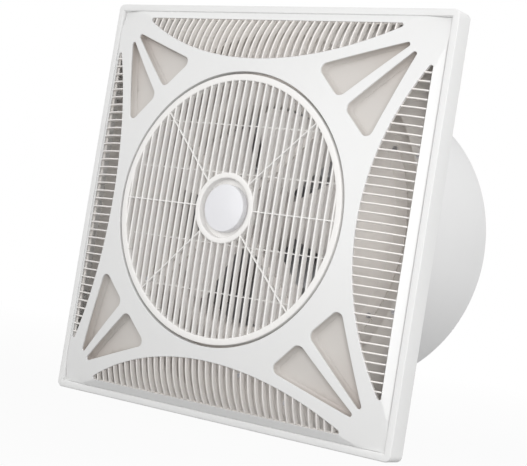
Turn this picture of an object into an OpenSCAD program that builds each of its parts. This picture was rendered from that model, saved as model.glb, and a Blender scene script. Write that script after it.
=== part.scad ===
// Square ceiling exhaust fan: domed front panel with a turning slatted louver,
// four slatted side inlets, a sheet steel drum and an axial impeller.
// Parts are drawn lying on their back: x to the right, y up the panel and
// z out of the front, and facing() turns them so that the front looks along -Y.
// The origin is on the fan axis, in the plane of the panel's rear edge.

/* [Square front] */
// Outside width and height of the square frame
panel_side = 595; // [570:1:640]
// Depth of the frame's side wall
panel_depth = 31; // [28:0.5:45]
// Radius of the frame's four corners
panel_corner_r = 9; // [4:0.5:14]
// Wall thickness of the frame
frame_wall = 2.5; // [2:0.1:3.5]
// Width of the flat rim round the front
rim_width = 10; // [8:0.5:14]
// Bevel on the front outer edge
rim_bevel = 1.6; // [0.4:0.1:2.2]
// Groove between the rim and the domed panel
rim_groove = 0.9; // [0.6:0.1:1.6]
// Width of the ledge that carries the domed panel
ledge_w = 6; // [4:0.5:9]
// Depth of the ledge behind the front of the rim
ledge_drop = 6; // [5:0.5:9]

/* [Domed panel] */
// Radius of the dome over the whole front
dome_r = 1400; // [1200:10:1600]
// Height of the dome's top above the rim
dome_rise = 53; // [50:0.5:58]
// Wall thickness of the domed panel
web_t = 2.5; // [2:0.1:3]
// Width of the sloping band between rim and side inlets
band_w = 11.5; // [9:0.5:14]
// Slope of that band in degrees
band_slope = 38; // [30:1:45]
// Width of a side inlet at its middle
inlet_w = 61.5; // [50:0.5:64]
// Half length of a side inlet, measured to its sharp tip
inlet_half_l = 228.5; // [215:0.5:232]
// Radius at the two tips of a side inlet
inlet_tip_r = 3; // [2:0.5:4]
// Radius of the round hole for the turning louver
hole_r = 194; // [188:0.5:196]
// Depth of the collar round that hole
hole_collar = 14; // [10:0.5:16]
// Depth of the recessed corner windows
window_depth = 13; // [8:0.5:16]
// Thickness of the tray behind the corner windows
tray_floor = 2; // [1.5:0.1:3]

/* [Side inlet slats] */
// Distance from slat to slat
inlet_pitch = 12; // [10:0.1:16]
// Thickness of a slat
inlet_slat_t = 2.2; // [1.6:0.1:3]
// Depth of a slat
inlet_slat_d = 9; // [6:0.5:12]
// Radius of the curve along a slat's front
inlet_bow_r = 120; // [110:1:200]
// Width of the rim that joins the slats behind the panel
inlet_rim_w = 5; // [4:0.5:6]
// Thickness of that rim
inlet_rim_t = 3.5; // [2.5:0.5:5]

/* [Louver] */
// Open groove round the louver
louver_groove = 3.5; // [2.5:0.1:5]
// Width of the louver's outer ring
louver_ring_w = 9.5; // [8:0.5:14]
// Depth of the outer ring
louver_ring_d = 13; // [11:0.5:15]
// Height of the louver's middle above its ring
louver_crown = 5; // [3:0.5:7]
// Distance from slat to slat
louver_pitch = 11.85; // [10:0.05:16]
// Thickness of a slat
louver_slat_t = 2.8; // [2:0.1:3.6]
// Depth of a slat
louver_slat_d = 9.5; // [7:0.5:11]
// Thickness of the ribs that cross the slats
louver_rib_t = 1.8; // [1.2:0.1:2.4]
// Depth of these ribs
louver_rib_d = 5; // [3:0.5:6.5]
// Outside radius of the hub collar
collar_r = 50; // [46:0.5:56]
// Radius of the recess inside the hub collar
collar_bore_r = 42; // [39:0.5:44]
// Depth of that recess
collar_recess = 11; // [8:0.5:13]
// Radius of the hub cap
cap_r = 33.5; // [28:0.5:36]
// Height of the hub cap's top above the collar
cap_proud = 0.4; // [0.2:0.1:3]
// Radius of the bevel on the hub cap
cap_bevel = 1; // [0.4:0.1:1.6]

/* [Louver drive] */
// Radius of the gear motor's round can
gear_can_r = 25; // [22:0.5:28]
// Depth of the can
gear_can_d = 18; // [15:0.5:22]
// Radius of the output shaft
gear_shaft_r = 3.5; // [3:0.1:4.5]
// Radial running clearance of shafts in their bearings
running_clear = 0.04; // [0.02:0.01:0.08]
// Width of the carrier's arms
carrier_arm_w = 9; // [7:0.5:12]
// Thickness of the carrier's arms
carrier_arm_t = 4; // [3:0.5:5]

/* [Rear body] */
// Thickness of the sheet steel parts
sheet_t = 1.5; // [1:0.1:2]
// Distance from the frame's edge in to the round pan
pan_inset = 17.5; // [14:0.5:24]
// Depth of the round pan behind the panel
pan_depth = 29; // [24:0.5:36]
// Outside radius of the drum
drum_r = 227; // [215:0.5:232]
// Length of the drum behind the pan
drum_l = 250; // [230:1:300]
// Overlap of pan collar and drum
drum_lap = 14; // [10:0.5:20]
// Distance of the corner bolts from the frame's edges
corner_bolt_inset = 35.5; // [30:0.5:40]
// Radius of the corner bolt holes
corner_bolt_r = 3.3; // [2.5:0.1:4.5]

/* [Air inlet ring] */
// Inside radius of the ring round the impeller
throat_r = 160; // [157:0.5:164]
// Length of the straight throat
throat_l = 52; // [40:1:64]
// Radius of the rounded lip
lip_r = 12; // [9:0.5:14]
// Distance of the lip's centre in front of the pan's plate
lip_rise = 32; // [26:0.5:34]
// Thickness of the ring
ring_t = 2; // [1.5:0.1:2.5]

/* [Impeller] */
// Number of blades
blade_n = 5; // [3:1:7]
// Radius at the blade tips
blade_tip_r = 156; // [140:0.5:156.5]
// Angle that a blade covers, seen from the front
blade_span = 50; // [30:1:50]
// Angle of the blades to the plane of the fan
blade_pitch = 21; // [14:1:24]
// Curvature radius of a blade
blade_curve_r = 240; // [220:5:400]
// Thickness of a blade
blade_t = 2.4; // [1.8:0.1:3]
// Outside radius of the impeller hub
hub_r = 52; // [46:0.5:56]
// Length of the impeller hub
hub_l = 46; // [40:0.5:56]
// Wall thickness of the impeller hub
hub_wall = 2.6; // [2:0.1:3.5]

/* [Fan motor] */
// Outside radius of the motor
motor_r = 58; // [52:0.5:64]
// Length of one motor shell
shell_l = 34; // [28:0.5:40]
// Wall thickness of the motor shells
shell_wall = 3; // [2.5:0.1:4]
// Radius of the motor shaft
shaft_r = 5; // [4.5:0.1:6]
// Air gap between rotor and stator
air_gap = 0.5; // [0.3:0.1:0.8]
// Outside radius of the rotor
rotor_r = 28; // [24:0.5:32]
// Outside radius of a ball bearing
bearing_r = 15; // [13:0.5:16]
// Width of a ball bearing
bearing_w = 9; // [7:0.5:10]
// Gap between the impeller hub and the motor
hub_gap = 5; // [3:0.5:8]
// Width of the motor's carrying arms
bracket_arm_w = 26; // [20:1:34]
// Thickness of the carrying arms
bracket_t = 3; // [2.5:0.1:4]
// Length of the feet that bend back along the drum
bracket_foot_l = 26; // [20:1:34]
// Thickness of a rubber mount under the motor
mount_t = 5; // [4:0.5:8]

/* [Rear guard] */
// Distance from slat to slat of the outlet guard
guard_pitch = 60; // [56:0.5:60]
// Width of a guard slat
guard_slat_w = 70; // [64:0.5:72]
// Thickness of a guard slat
guard_slat_t = 1.5; // [1:0.1:2]
// Slope of the guard's slats
guard_tilt = 30; // [28:1:36]
// Distance of the guard's ring from the drum's rear edge
guard_inset = 3; // [3:0.5:10]

/* [Terminal box] */
// Length of the box along the drum
box_l = 110; // [100:1:130]
// Width of the box round the drum
box_w = 70; // [66:1:80]
// Height of the box above the drum
box_h = 42; // [40:0.5:52]
// Wall thickness of the box
box_wall = 2.5; // [2:0.1:3]
// Thickness of the lid
lid_t = 2.5; // [2:0.1:3.5]
// Distance of the box behind the pan
box_offset = 45; // [30:1:70]
// Radius of the capacitor
cap_can_r = 15; // [12:0.5:15]
// Length of the capacitor
cap_can_l = 56; // [50:1:60]
// Radius of the cable hole in the gland
gland_bore_r = 4; // [3:0.1:5]

/* [Fits] */
// Gap between parts that are fixed to each other
seat_gap = 0.2; // [0.1:0.05:0.3]
// Radius of a small screw's thread
screw_r = 2; // [1.6:0.1:2.2]
// Radius of a small screw's head
screw_head_r = 3.8; // [3.4:0.1:4.2]
// Height of a small screw's head
screw_head_h = 2.4; // [2:0.1:3]

/* [Hidden] */
$fn = 96;
fine = 240;
far = 900;

// Square front, seen from the front
panel_half = panel_side / 2;
rim_z = panel_depth;
face_half = panel_half - rim_width - rim_groove;
inlet_side = face_half - band_w;
inlet_apex = inlet_side - inlet_w;
ledge_z = rim_z - ledge_drop;
ledge_t = frame_wall;
frame_screw_y = 150;
frame_boss = 11;

// Dome: height above the origin plane at a distance r from the axis
dome_centre_z = rim_z + dome_rise - dome_r;
function dome_z(r) = dome_centre_z + sqrt(dome_r * dome_r - r * r);
function band_z(x) = rim_z + (face_half - x) * tan(band_slope);

// Arc between the dome's web and a side inlet
inlet_arc_r = (inlet_w * inlet_w + inlet_half_l * inlet_half_l) / (2 * inlet_w);
inlet_arc_x = inlet_apex + inlet_arc_r;
function inlet_edge_x(y) = inlet_arc_x - sqrt(inlet_arc_r * inlet_arc_r - y * y);
inlet_slat_n = floor((inlet_half_l - 18) / inlet_pitch + 0.5);

// Corner window outline, its three corner points and their radii
window_corners = [[inlet_side - 66.9, inlet_side - 165.7], [inlet_side - 110.3, inlet_side - 122.2],
                  [inlet_side - 21.5, inlet_side - 28.4]];
window_radii = [9, 11, 3.4];
tray_wall = 2.6;
tray_lap = 0.5;
block_top = 150;

// Louver
ring_front_z = dome_z(hole_r);
louver_r = hole_r - louver_groove;
louver_in_r = louver_r - louver_ring_w;
louver_dome_r = (louver_r * louver_r + louver_crown * louver_crown) / (2 * louver_crown);
louver_top_z = ring_front_z + louver_crown;
function louver_z(r) = louver_top_z - louver_dome_r + sqrt(louver_dome_r * louver_dome_r - r * r);
louver_back_z = ring_front_z - louver_ring_d;
collar_front_z = louver_z(collar_r) + 0.4;
collar_floor_z = collar_front_z - collar_recess;
collar_floor_t = 3;
hub_boss_r = gear_shaft_r + 4;
louver_slat_n = floor(louver_in_r / louver_pitch);
tie_rows = [50, 118];

// Carrier behind the louver
carrier_ring_in = hole_r + web_t + 0.5;
carrier_ring_w = 10.5;
carrier_ring_z = dome_z(carrier_ring_in + carrier_ring_w) - web_t - seat_gap;
carrier_z = louver_back_z - 4 - carrier_arm_t;
carrier_wall = 2.5;
carrier_tube_t = 2;
carrier_screw_r = carrier_ring_in + carrier_tube_t + screw_head_r + 0.3;
carrier_screw_a = 22.5;
gear_ear_r = gear_can_r + 5;
carrier_hub_r = gear_ear_r + 6;
gear_front_z = carrier_z - seat_gap;
gear_back_z = gear_front_z - gear_can_d;
gear_boss_r = gear_shaft_r + 3;
gear_top_z = carrier_z + carrier_arm_t + 0.8;
shoulder_z = gear_top_z + 0.5;
shoulder_t = 1.5;
louver_boss_z = shoulder_z + shoulder_t + seat_gap;

// Rear body
pan_r = panel_half - pan_inset;
plate_z = sheet_t;
plate_half = panel_half - frame_wall - 0.3;
plate_hole_r = pan_r - 14;
pan_front_z = -seat_gap;
pan_back_z = -pan_depth;
pan_hole_r = drum_r - 14;
pan_screw_r = pan_r - 6;
collar_out_r = drum_r - sheet_t - seat_gap;
drum_front_z = pan_back_z - seat_gap;
drum_back_z = pan_back_z - drum_l;
corner_bolt = panel_half - corner_bolt_inset;

// Air inlet ring: the line from its base up to the rounded lip
base_z = pan_back_z + sheet_t + seat_gap;
base_r = pan_hole_r + 4;
flange_r = pan_hole_r + 22;
lip_c = [throat_r + lip_r, pan_back_z + lip_rise];
lip_d = [lip_c[0] - base_r, lip_c[1] - base_z];
lip_len = norm(lip_d);
cone_angle = atan2(lip_d[1], lip_d[0]) - asin(lip_r / lip_len);
tangent_angle = cone_angle - 90;
throat_back_z = lip_c[1] - throat_l;
ring_screw_r = (base_r + flange_r) / 2 + 4;

// Impeller and motor along the axis
hub_front_z = lip_c[1] + 2;
hub_back_z = hub_front_z - hub_l;
hub_face_t = 3.5;
blade_z = hub_front_z - 25;
motor_front_z = hub_back_z - hub_gap;
shell_split_z = motor_front_z - shell_l;
motor_back_z = shell_split_z - shell_l;
stator_l = shell_l;
stator_r = motor_r - shell_wall - seat_gap;
stator_bore_r = rotor_r + air_gap;
shaft_back_z = motor_back_z + shell_wall + 2;
shaft_front_z = hub_front_z + 9;
bush_r = shaft_r + 4;
mount_pcd_r = motor_r - 16;
shell_screw_r = motor_r + screw_head_r + 0.5;
shell_boss_r = 4.6;
bracket_hole_r = 20;
bracket_z = motor_back_z - mount_t;
bracket_reach = drum_r - sheet_t - seat_gap;

// Guard
guard_out_r = drum_r - sheet_t - 4;
guard_in_r = guard_out_r - 2.5;
guard_depth = guard_slat_w * sin(guard_tilt) + guard_slat_t + 1;
guard_z = drum_back_z + guard_inset;
guard_slat_n = floor((guard_in_r - guard_slat_w * cos(guard_tilt) / 2 - 3) / guard_pitch);

// Terminal box on the side of the drum
box_front_z = pan_back_z - box_offset;
box_mid_z = box_front_z - box_l / 2;
box_seat_x = drum_r + seat_gap;
box_top_x = drum_r + box_h;
floor_x = drum_r + 3.5;
lid_x = box_top_x - lid_t;
post_r = 5;
block_y = 14;

// Turns a part from its drawing position to its place
module facing() {
    rotate([90, 0, 0]) children();
}

// Four equal copies round the axis
module round_four(first = 0) {
    for (a = [first : 90 : first + 270]) rotate(a) children();
}

module tube(r_out, r_in, z0, z1) {
    translate([0, 0, z0]) difference() {
        cylinder(r = r_out, h = z1 - z0, $fn = fine);
        translate([0, 0, -1]) cylinder(r = r_in, h = z1 - z0 + 2, $fn = fine);
    }
}

module rounded_square(half, r) {
    square([2 * half, 2 * (half - r)], center = true);
    square([2 * (half - r), 2 * half], center = true);
    for (sx = [-1, 1], sy = [-1, 1]) translate([sx * (half - r), sy * (half - r)]) circle(r = r);
}

module square_block(half, r, z0, z1) {
    translate([0, 0, z0]) linear_extrude(z1 - z0) rounded_square(half, r);
}

// Pan head screw pointing along -z, with its seat at z = 0
module screw(length, r = screw_r, head_r = screw_head_r, head_h = screw_head_h) {
    difference() {
        union() {
            translate([0, 0, -length]) cylinder(r = r, h = length + 0.1, $fn = 24);
            cylinder(r = head_r, h = head_h, $fn = 32);
        }
        for (a = [0, 90]) rotate(a) translate([-head_r * 0.55, -0.5, head_h * 0.45]) {
            cube([head_r * 1.1, 1, head_h]);
        }
    }
}

// Hole for such a screw
module screw_hole(depth) {
    translate([0, 0, -depth]) cylinder(r = screw_r + 0.2, h = 2 * depth, $fn = 24);
}

/* Square front */

// Block with a bevel round its front edge
module bevelled_block(half, r, z0, z1, b) {
    square_block(half, r, z0, z1 - b);
    translate([0, 0, z1 - b]) {
        for (a = [0, 90]) rotate(a) rotate([90, 0, 0]) linear_extrude(2 * (half - r), center = true) {
            polygon([[-half, 0], [half, 0], [half - b, b], [b - half, b]]);
        }
        for (sx = [-1, 1], sy = [-1, 1]) translate([sx * (half - r), sy * (half - r), 0]) {
            cylinder(r1 = r, r2 = r - b, h = b);
        }
    }
}

// Places of the screws that hold the back plate to the frame
module at_frame_screws() {
    round_four() for (s = [-1, 1]) translate([panel_half - frame_wall - frame_boss / 2, s * frame_screw_y, 0]) {
        children();
    }
}

module outer_frame() {
    opening = face_half + rim_groove;
    color([0.93, 0.93, 0.92]) facing() {
        difference() {
            bevelled_block(panel_half, panel_corner_r, 0, rim_z, rim_bevel);
            square_block(opening, panel_corner_r - 4, ledge_z, rim_z + 1);
            square_block(opening - ledge_w, panel_corner_r - 4, -1, ledge_z + 1);
            square_block(panel_half - frame_wall, panel_corner_r - frame_wall, -1, ledge_z - ledge_t);
            difference() {
                square_block(panel_half - frame_wall, panel_corner_r - frame_wall,
                             ledge_z - ledge_t - 1, rim_z - frame_wall);
                square_block(opening + frame_wall, panel_corner_r - frame_wall,
                             ledge_z - ledge_t - 2, rim_z);
            }
        }
        difference() {
            at_frame_screws() translate([-frame_boss / 2, -frame_boss / 2, plate_z + seat_gap]) {
                cube([frame_boss + 0.1, frame_boss, ledge_z - ledge_t / 2 - plate_z - seat_gap]);
            }
            at_frame_screws() screw_hole(plate_z + 12);
        }
    }
}

/* Domed panel */

module dome_ball(inset) {
    translate([0, 0, dome_centre_z]) sphere(r = dome_r - inset, $fn = 2 * fine);
}

// Roof with two sloping bands, running along y
module band_roof(inset, foot_z) {
    rise = 90;
    side = face_half - inset;
    knee = rim_z - inset * (1 - sin(band_slope)) / cos(band_slope);
    ridge = face_half - (rise * cos(band_slope) + inset) / sin(band_slope);
    rotate([90, 0, 0]) linear_extrude(2 * side, center = true) {
        polygon([[-side, foot_z], [side, foot_z], [side, knee], [ridge, rim_z + rise],
                 [-ridge, rim_z + rise], [-side, knee]]);
    }
}

// Body under the panel's front surface, moved in by a given amount
module front_body(inset, foot_z) {
    intersection() {
        dome_ball(inset);
        band_roof(inset, foot_z);
        rotate(90) band_roof(inset, foot_z);
    }
}

function unit(v) = v / norm(v);
function half_angle(p, a, b) = acos(unit(a - p) * unit(b - p)) / 2;
function inward(p, a, b, d) = p + unit(unit(a - p) + unit(b - p)) * d / sin(half_angle(p, a, b));
function arc_end(p, a, b, r) = p + unit(a - p) * r / tan(half_angle(p, a, b));
function heading(v) = atan2(v[1], v[0]);
function short_turn(a) = a > 180 ? a - 360 : a < -180 ? a + 360 : a;

// Points of the arc of radius r that rounds the corner p between its neighbours a and b
function corner_arc(p, a, b, r, steps = 8) =
    let (mid = inward(p, a, b, r),
         from = heading(arc_end(p, a, b, r) - mid),
         turn = short_turn(heading(arc_end(p, b, a, r) - mid) - from))
    [for (i = [0 : steps]) mid + r * [cos(from + turn * i / steps), sin(from + turn * i / steps)]];

// Triangle with a radius at each corner
module rounded_triangle(p, r) {
    polygon([for (i = [0 : 2]) each corner_arc(p[i], p[(i + 2) % 3], p[(i + 1) % 3], r[i])]);
}

// Outline of a corner window below the diagonal or, swapped, above it, grown by a given amount
module window_outline(grow, swapped = false) {
    c = [for (q = window_corners) swapped ? [q[1], q[0]] : q];
    p = [for (i = [0 : 2]) inward(c[i], c[(i + 2) % 3], c[(i + 1) % 3], -grow)];
    rounded_triangle(p, [for (r = window_radii) r + grow]);
}

// Upright blocks through the eight windows, two beside each diagonal
module window_blocks(grow) {
    round_four() for (swapped = [false, true]) linear_extrude(block_top) window_outline(grow, swapped);
}

// Outline of the right side inlet, grown by a given amount
module inlet_outline(grow) {
    arc_r = inlet_arc_r + grow;
    side = inlet_side + grow;
    tip_r = inlet_tip_r + grow;
    tip_x = side - tip_r;
    tip_y = sqrt(pow(arc_r - tip_r, 2) - pow(inlet_arc_x - tip_x, 2));
    touch = [inlet_arc_x, 0] + ([tip_x, tip_y] - [inlet_arc_x, 0]) * arc_r / (arc_r - tip_r);
    apex = inlet_arc_x - arc_r - 1;
    intersection() {
        translate([inlet_arc_x, 0]) circle(r = arc_r, $fn = 2 * fine);
        polygon([[side, -tip_y], [side, tip_y], touch, [apex, touch[1]], [apex, -touch[1]],
                 [touch[0], -touch[1]]]);
    }
    for (s = [-1, 1]) translate([tip_x, s * tip_y]) circle(r = tip_r);
}

module face_panel() {
    color([0.95, 0.95, 0.94]) facing() difference() {
        union() {
            intersection() {
                difference() {
                    front_body(0, ledge_z + seat_gap);
                    front_body(web_t, ledge_z - 1);
                }
                square_block(face_half, panel_corner_r - 5, 0, far);
            }
            intersection() {
                front_body(0, ledge_z);
                tube(hole_r + web_t, hole_r - 1, ring_front_z - hole_collar, far);
            }
        }
        cylinder(r = hole_r, h = far, $fn = fine);
        round_four() linear_extrude(block_top) inlet_outline(0);
        window_blocks(0);
        at_carrier_screws() cylinder(r = screw_r + 0.1, h = carrier_ring_z + 1.8, $fn = 24);
    }
}

module window_trays() {
    color([0.86, 0.85, 0.83]) facing() difference() {
        intersection() {
            window_blocks(tray_lap + tray_wall);
            front_body(web_t + seat_gap, 0);
        }
        difference() {
            window_blocks(tray_lap);
            front_body(window_depth, -1);
        }
        front_body(window_depth + tray_floor, -1);
    }
}

/* Side inlets */

// Slat of the right side inlet at a height y above its middle
module inlet_slat(y) {
    a = [inlet_edge_x(y), dome_z(norm([inlet_edge_x(y), y]))];
    b = [inlet_side, min(band_z(inlet_side), dome_z(norm([inlet_side, y])))];
    along = unit(b - a);
    out = [-along[1], along[0]];
    sag = sqrt(inlet_bow_r * inlet_bow_r - pow(norm(b - a) / 2, 2));
    mid = (a + b) / 2 - out * sag;
    tuck = inlet_rim_w - 1;
    translate([0, y, 0]) rotate([90, 0, 0]) linear_extrude(inlet_slat_t, center = true) {
        intersection() {
            difference() {
                translate(mid) circle(r = inlet_bow_r);
                translate(mid) circle(r = inlet_bow_r - inlet_slat_d);
            }
            translate([a[0] - tuck, mid[1]]) square([b[0] - a[0] + 2 * tuck, inlet_bow_r + 1]);
        }
    }
}

module side_grille() {
    intersection() {
        union() {
            for (k = [0 : inlet_slat_n - 1], s = [-1, 1]) inlet_slat(s * (k + 0.5) * inlet_pitch);
            intersection() {
                linear_extrude(far) difference() {
                    inlet_outline(inlet_rim_w);
                    inlet_outline(tray_lap);
                }
                difference() {
                    front_body(web_t + seat_gap, 0);
                    front_body(web_t + seat_gap + inlet_rim_t, -1);
                }
            }
        }
        union() {
            linear_extrude(far) inlet_outline(-seat_gap);
            front_body(web_t + seat_gap, 0);
        }
    }
}

module side_grille_right() {
    color([0.94, 0.92, 0.89]) facing() side_grille();
}

module side_grille_top() {
    color([0.94, 0.92, 0.89]) facing() rotate(90) side_grille();
}

module side_grille_left() {
    color([0.94, 0.92, 0.89]) facing() rotate(180) side_grille();
}

module side_grille_bottom() {
    color([0.94, 0.92, 0.89]) facing() rotate(270) side_grille();
}

/* Louver */

module louver_arc(drop) {
    translate([0, louver_top_z - louver_dome_r]) circle(r = louver_dome_r - drop, $fn = 12 * fine);
}

// Layer of the louver between two depths behind its front
module louver_layer(from, to) {
    intersection() {
        rotate_extrude($fn = fine) intersection() {
            difference() {
                louver_arc(from);
                louver_arc(to);
            }
            translate([collar_r - 1, 0]) square([louver_in_r - collar_r + 2, block_top]);
        }
        children();
    }
}

module louver_bar(w) {
    translate([-louver_r, -w / 2, 0]) cube([2 * louver_r, w, block_top]);
}

module louver() {
    rib_drop = 0.5;
    tie_h = 2.5;
    color([0.95, 0.94, 0.92]) facing() difference() {
        union() {
            rotate_extrude($fn = fine) intersection() {
                louver_arc(0);
                translate([louver_in_r, louver_back_z]) square([louver_ring_w, block_top]);
            }
            louver_layer(0, louver_slat_d) for (k = [-louver_slat_n : louver_slat_n]) {
                translate([k * louver_pitch, 0, 0]) rotate(90) louver_bar(louver_slat_t);
            }
            louver_layer(rib_drop, rib_drop + louver_rib_d) for (a = [0, 45, 135]) {
                rotate(a) louver_bar(louver_rib_t);
            }
            louver_layer(louver_slat_d - tie_h, louver_slat_d) for (y = tie_rows, s = [-1, 1]) {
                translate([0, s * y, 0]) louver_bar(louver_rib_t);
            }
            tube(collar_r, collar_bore_r, collar_floor_z - collar_floor_t, collar_front_z);
            translate([0, 0, collar_floor_z - collar_floor_t]) {
                cylinder(r = collar_bore_r + 1, h = collar_floor_t, $fn = fine);
            }
            translate([0, 0, louver_boss_z]) {
                cylinder(r = hub_boss_r, h = collar_floor_z - louver_boss_z);
            }
        }
        translate([0, 0, louver_boss_z - 1]) cylinder(r = gear_shaft_r + 0.1, h = far);
    }
}

module louver_shaft() {
    depth = gear_can_d - 3;
    thread_r = screw_r + 0.1;
    color([0.75, 0.76, 0.78]) facing() difference() {
        union() {
            translate([0, 0, gear_front_z - depth]) {
                cylinder(r = gear_shaft_r, h = collar_floor_z - 0.5 - gear_front_z + depth);
            }
            translate([0, 0, shoulder_z]) cylinder(r = gear_shaft_r + 2.5, h = shoulder_t);
        }
        translate([0, 0, collar_floor_z - 10]) cylinder(r = thread_r, h = 20, $fn = 24);
    }
}

module louver_screw() {
    washer_t = 1.2;
    color([0.8, 0.8, 0.82]) facing() translate([0, 0, collar_floor_z + 0.1]) {
        difference() {
            cylinder(r = gear_shaft_r + 5, h = washer_t);
            translate([0, 0, -1]) cylinder(r = screw_r - 0.1, h = 3, $fn = 24);
        }
        translate([0, 0, washer_t]) screw(8 + washer_t);
    }
}

module hub_cap() {
    wall = 2;
    foot_z = collar_floor_z + seat_gap;
    top_z = collar_front_z + cap_proud;
    color([0.96, 0.96, 0.97]) facing() difference() {
        union() {
            translate([0, 0, foot_z]) cylinder(r = cap_r, h = top_z - cap_bevel - foot_z, $fn = fine);
            translate([0, 0, top_z - cap_bevel]) {
                cylinder(r1 = cap_r, r2 = cap_r - cap_bevel, h = cap_bevel, $fn = fine);
            }
        }
        translate([0, 0, foot_z - 1]) cylinder(r = cap_r - wall, h = top_z - wall - foot_z + 1, $fn = fine);
    }
}

/* Louver drive */

module at_carrier_screws() {
    round_four(carrier_screw_a) translate([carrier_screw_r, 0, 0]) children();
}

module at_gear_ears() {
    for (s = [-1, 1]) translate([0, s * gear_ear_r, 0]) children();
}

module louver_carrier() {
    color([0.9, 0.89, 0.86]) facing() difference() {
        union() {
            tube(carrier_ring_in + carrier_ring_w, carrier_ring_in, carrier_ring_z - carrier_wall, carrier_ring_z);
            tube(carrier_ring_in + carrier_tube_t, carrier_ring_in, carrier_z, carrier_ring_z);
            translate([0, 0, carrier_z]) linear_extrude(carrier_arm_t) {
                circle(r = carrier_hub_r);
                for (a = [45, 135]) rotate(a) {
                    square([2 * carrier_ring_in + carrier_tube_t, carrier_arm_w], center = true);
                }
            }
        }
        cylinder(r = gear_boss_r + seat_gap, h = far);
        at_gear_ears() translate([0, 0, carrier_z]) screw_hole(far / 2);
        at_carrier_screws() cylinder(r = screw_r + 0.2, h = far, $fn = 24);
    }
}

module carrier_screws() {
    color([0.75, 0.75, 0.77]) facing() at_carrier_screws() {
        translate([0, 0, carrier_ring_z - carrier_wall - 0.1]) rotate([180, 0, 0]) screw(carrier_wall + 1.8);
    }
}

module gear_motor() {
    ear_t = 1.5;
    color([0.7, 0.71, 0.72]) facing() difference() {
        union() {
            translate([0, 0, gear_back_z]) cylinder(r = gear_can_r, h = gear_can_d);
            cylinder_to_top(gear_boss_r, gear_front_z - 1, gear_top_z);
            translate([0, 0, gear_front_z - ear_t]) {
                translate([-5, -gear_ear_r, 0]) cube([10, 2 * gear_ear_r, ear_t]);
                at_gear_ears() cylinder(r = 5, h = ear_t);
            }
        }
        translate([0, 0, gear_front_z - gear_can_d + 2]) cylinder(r = gear_shaft_r + running_clear, h = far);
        at_gear_ears() translate([0, 0, gear_front_z]) screw_hole(5);
    }
}

module cylinder_to_top(r, z0, z1) {
    translate([0, 0, z0]) cylinder(r = r, h = z1 - z0);
}

module gear_motor_screws() {
    color([0.8, 0.8, 0.82]) facing() at_gear_ears() {
        translate([0, 0, carrier_z + carrier_arm_t + 0.1]) screw(carrier_arm_t + 3);
    }
}

/* Rear body */

module at_pan_screws() {
    for (k = [0 : 7]) rotate(22.5 + 45 * k) translate([pan_screw_r, 0, 0]) children();
}

module back_plate() {
    color([0.78, 0.79, 0.8]) facing() difference() {
        square_block(plate_half, panel_corner_r - frame_wall, 0, plate_z);
        translate([0, 0, -1]) cylinder(r = plate_hole_r, h = plate_z + 2, $fn = fine);
        round_four() translate([corner_bolt, corner_bolt, -1]) cylinder(r = corner_bolt_r, h = plate_z + 2);
        at_frame_screws() screw_hole(plate_z + 2);
        at_pan_screws() screw_hole(plate_z + 2);
    }
}

module back_plate_screws() {
    color([0.8, 0.8, 0.82]) facing() at_frame_screws() {
        translate([0, 0, -0.1]) rotate([180, 0, 0]) screw(10);
    }
}

module pan() {
    color([0.86, 0.86, 0.85]) facing() difference() {
        union() {
            tube(pan_r, pan_r - sheet_t, pan_back_z, pan_front_z);
            tube(pan_r - 0.1, plate_hole_r, pan_front_z - sheet_t, pan_front_z);
            tube(pan_r - 0.1, pan_hole_r, pan_back_z, pan_back_z + sheet_t);
            tube(collar_out_r, collar_out_r - sheet_t, pan_back_z - drum_lap, pan_back_z + 0.1);
        }
        at_pan_screws() screw_hole(pan_depth / 2);
        at_ring_screws() translate([0, 0, pan_back_z]) screw_hole(5);
        at_drum_screws() screw_hole(8);
    }
}

module pan_screws() {
    color([0.8, 0.8, 0.82]) facing() at_pan_screws() translate([0, 0, plate_z + 0.1]) screw(plate_z + 5);
}

module drum() {
    color([0.88, 0.88, 0.87]) facing() difference() {
        tube(drum_r, drum_r - sheet_t, drum_back_z, drum_front_z);
        at_drum_screws() screw_hole(8);
        rotate(180) translate([0, 0, box_mid_z]) rotate([0, 90, 0]) cylinder(r = 8, h = far);
    }
}

// Places of the screws through drum and pan collar, pointing inwards
module at_drum_screws() {
    round_four(45) translate([drum_r, 0, pan_back_z - drum_lap / 2]) rotate([0, 90, 0]) children();
}

module drum_screws() {
    color([0.8, 0.8, 0.82]) facing() at_drum_screws() translate([0, 0, 0.25]) screw(7);
}

/* Air inlet ring */

module at_ring_screws() {
    for (k = [0 : 5]) rotate(30 + 60 * k) translate([ring_screw_r, 0, 0]) children();
}

// Rounded lip between the throat and the cone
module inlet_lip(normal) {
    reach = 3 * lip_r;
    intersection() {
        translate(lip_c) difference() {
            circle(r = lip_r);
            circle(r = lip_r - ring_t);
        }
        polygon([lip_c, lip_c + reach * normal, lip_c + [reach / 2, reach], lip_c + [-reach, reach],
                 lip_c - [reach, 0]]);
    }
}

module inlet_ring() {
    tuck = 0.3;
    normal = [cos(tangent_angle), sin(tangent_angle)];
    touch = lip_c + (lip_r - tuck) * normal;
    inner = lip_c + (lip_r - ring_t + tuck) * normal;
    base = [base_r - tuck / normal[0], base_z];
    wall = [(ring_t - 2 * tuck) / normal[0], 0];
    up = unit(touch - base);
    color([0.84, 0.83, 0.81]) facing() difference() {
        union() {
            tube(throat_r + ring_t, throat_r, throat_back_z, lip_c[1]);
            rotate_extrude($fn = fine) inlet_lip(normal);
            rotate_extrude($fn = fine) polygon([touch + up, base, base - wall, inner + up]);
            tube(flange_r, base_r - 2 * ring_t, base_z, base_z + ring_t);
        }
        at_ring_screws() translate([0, 0, base_z]) screw_hole(6);
    }
}

module inlet_ring_screws() {
    color([0.8, 0.8, 0.82]) facing() at_ring_screws() {
        translate([0, 0, base_z + ring_t + 0.1]) screw(ring_t + sheet_t + 4);
    }
}

/* Impeller */

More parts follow.
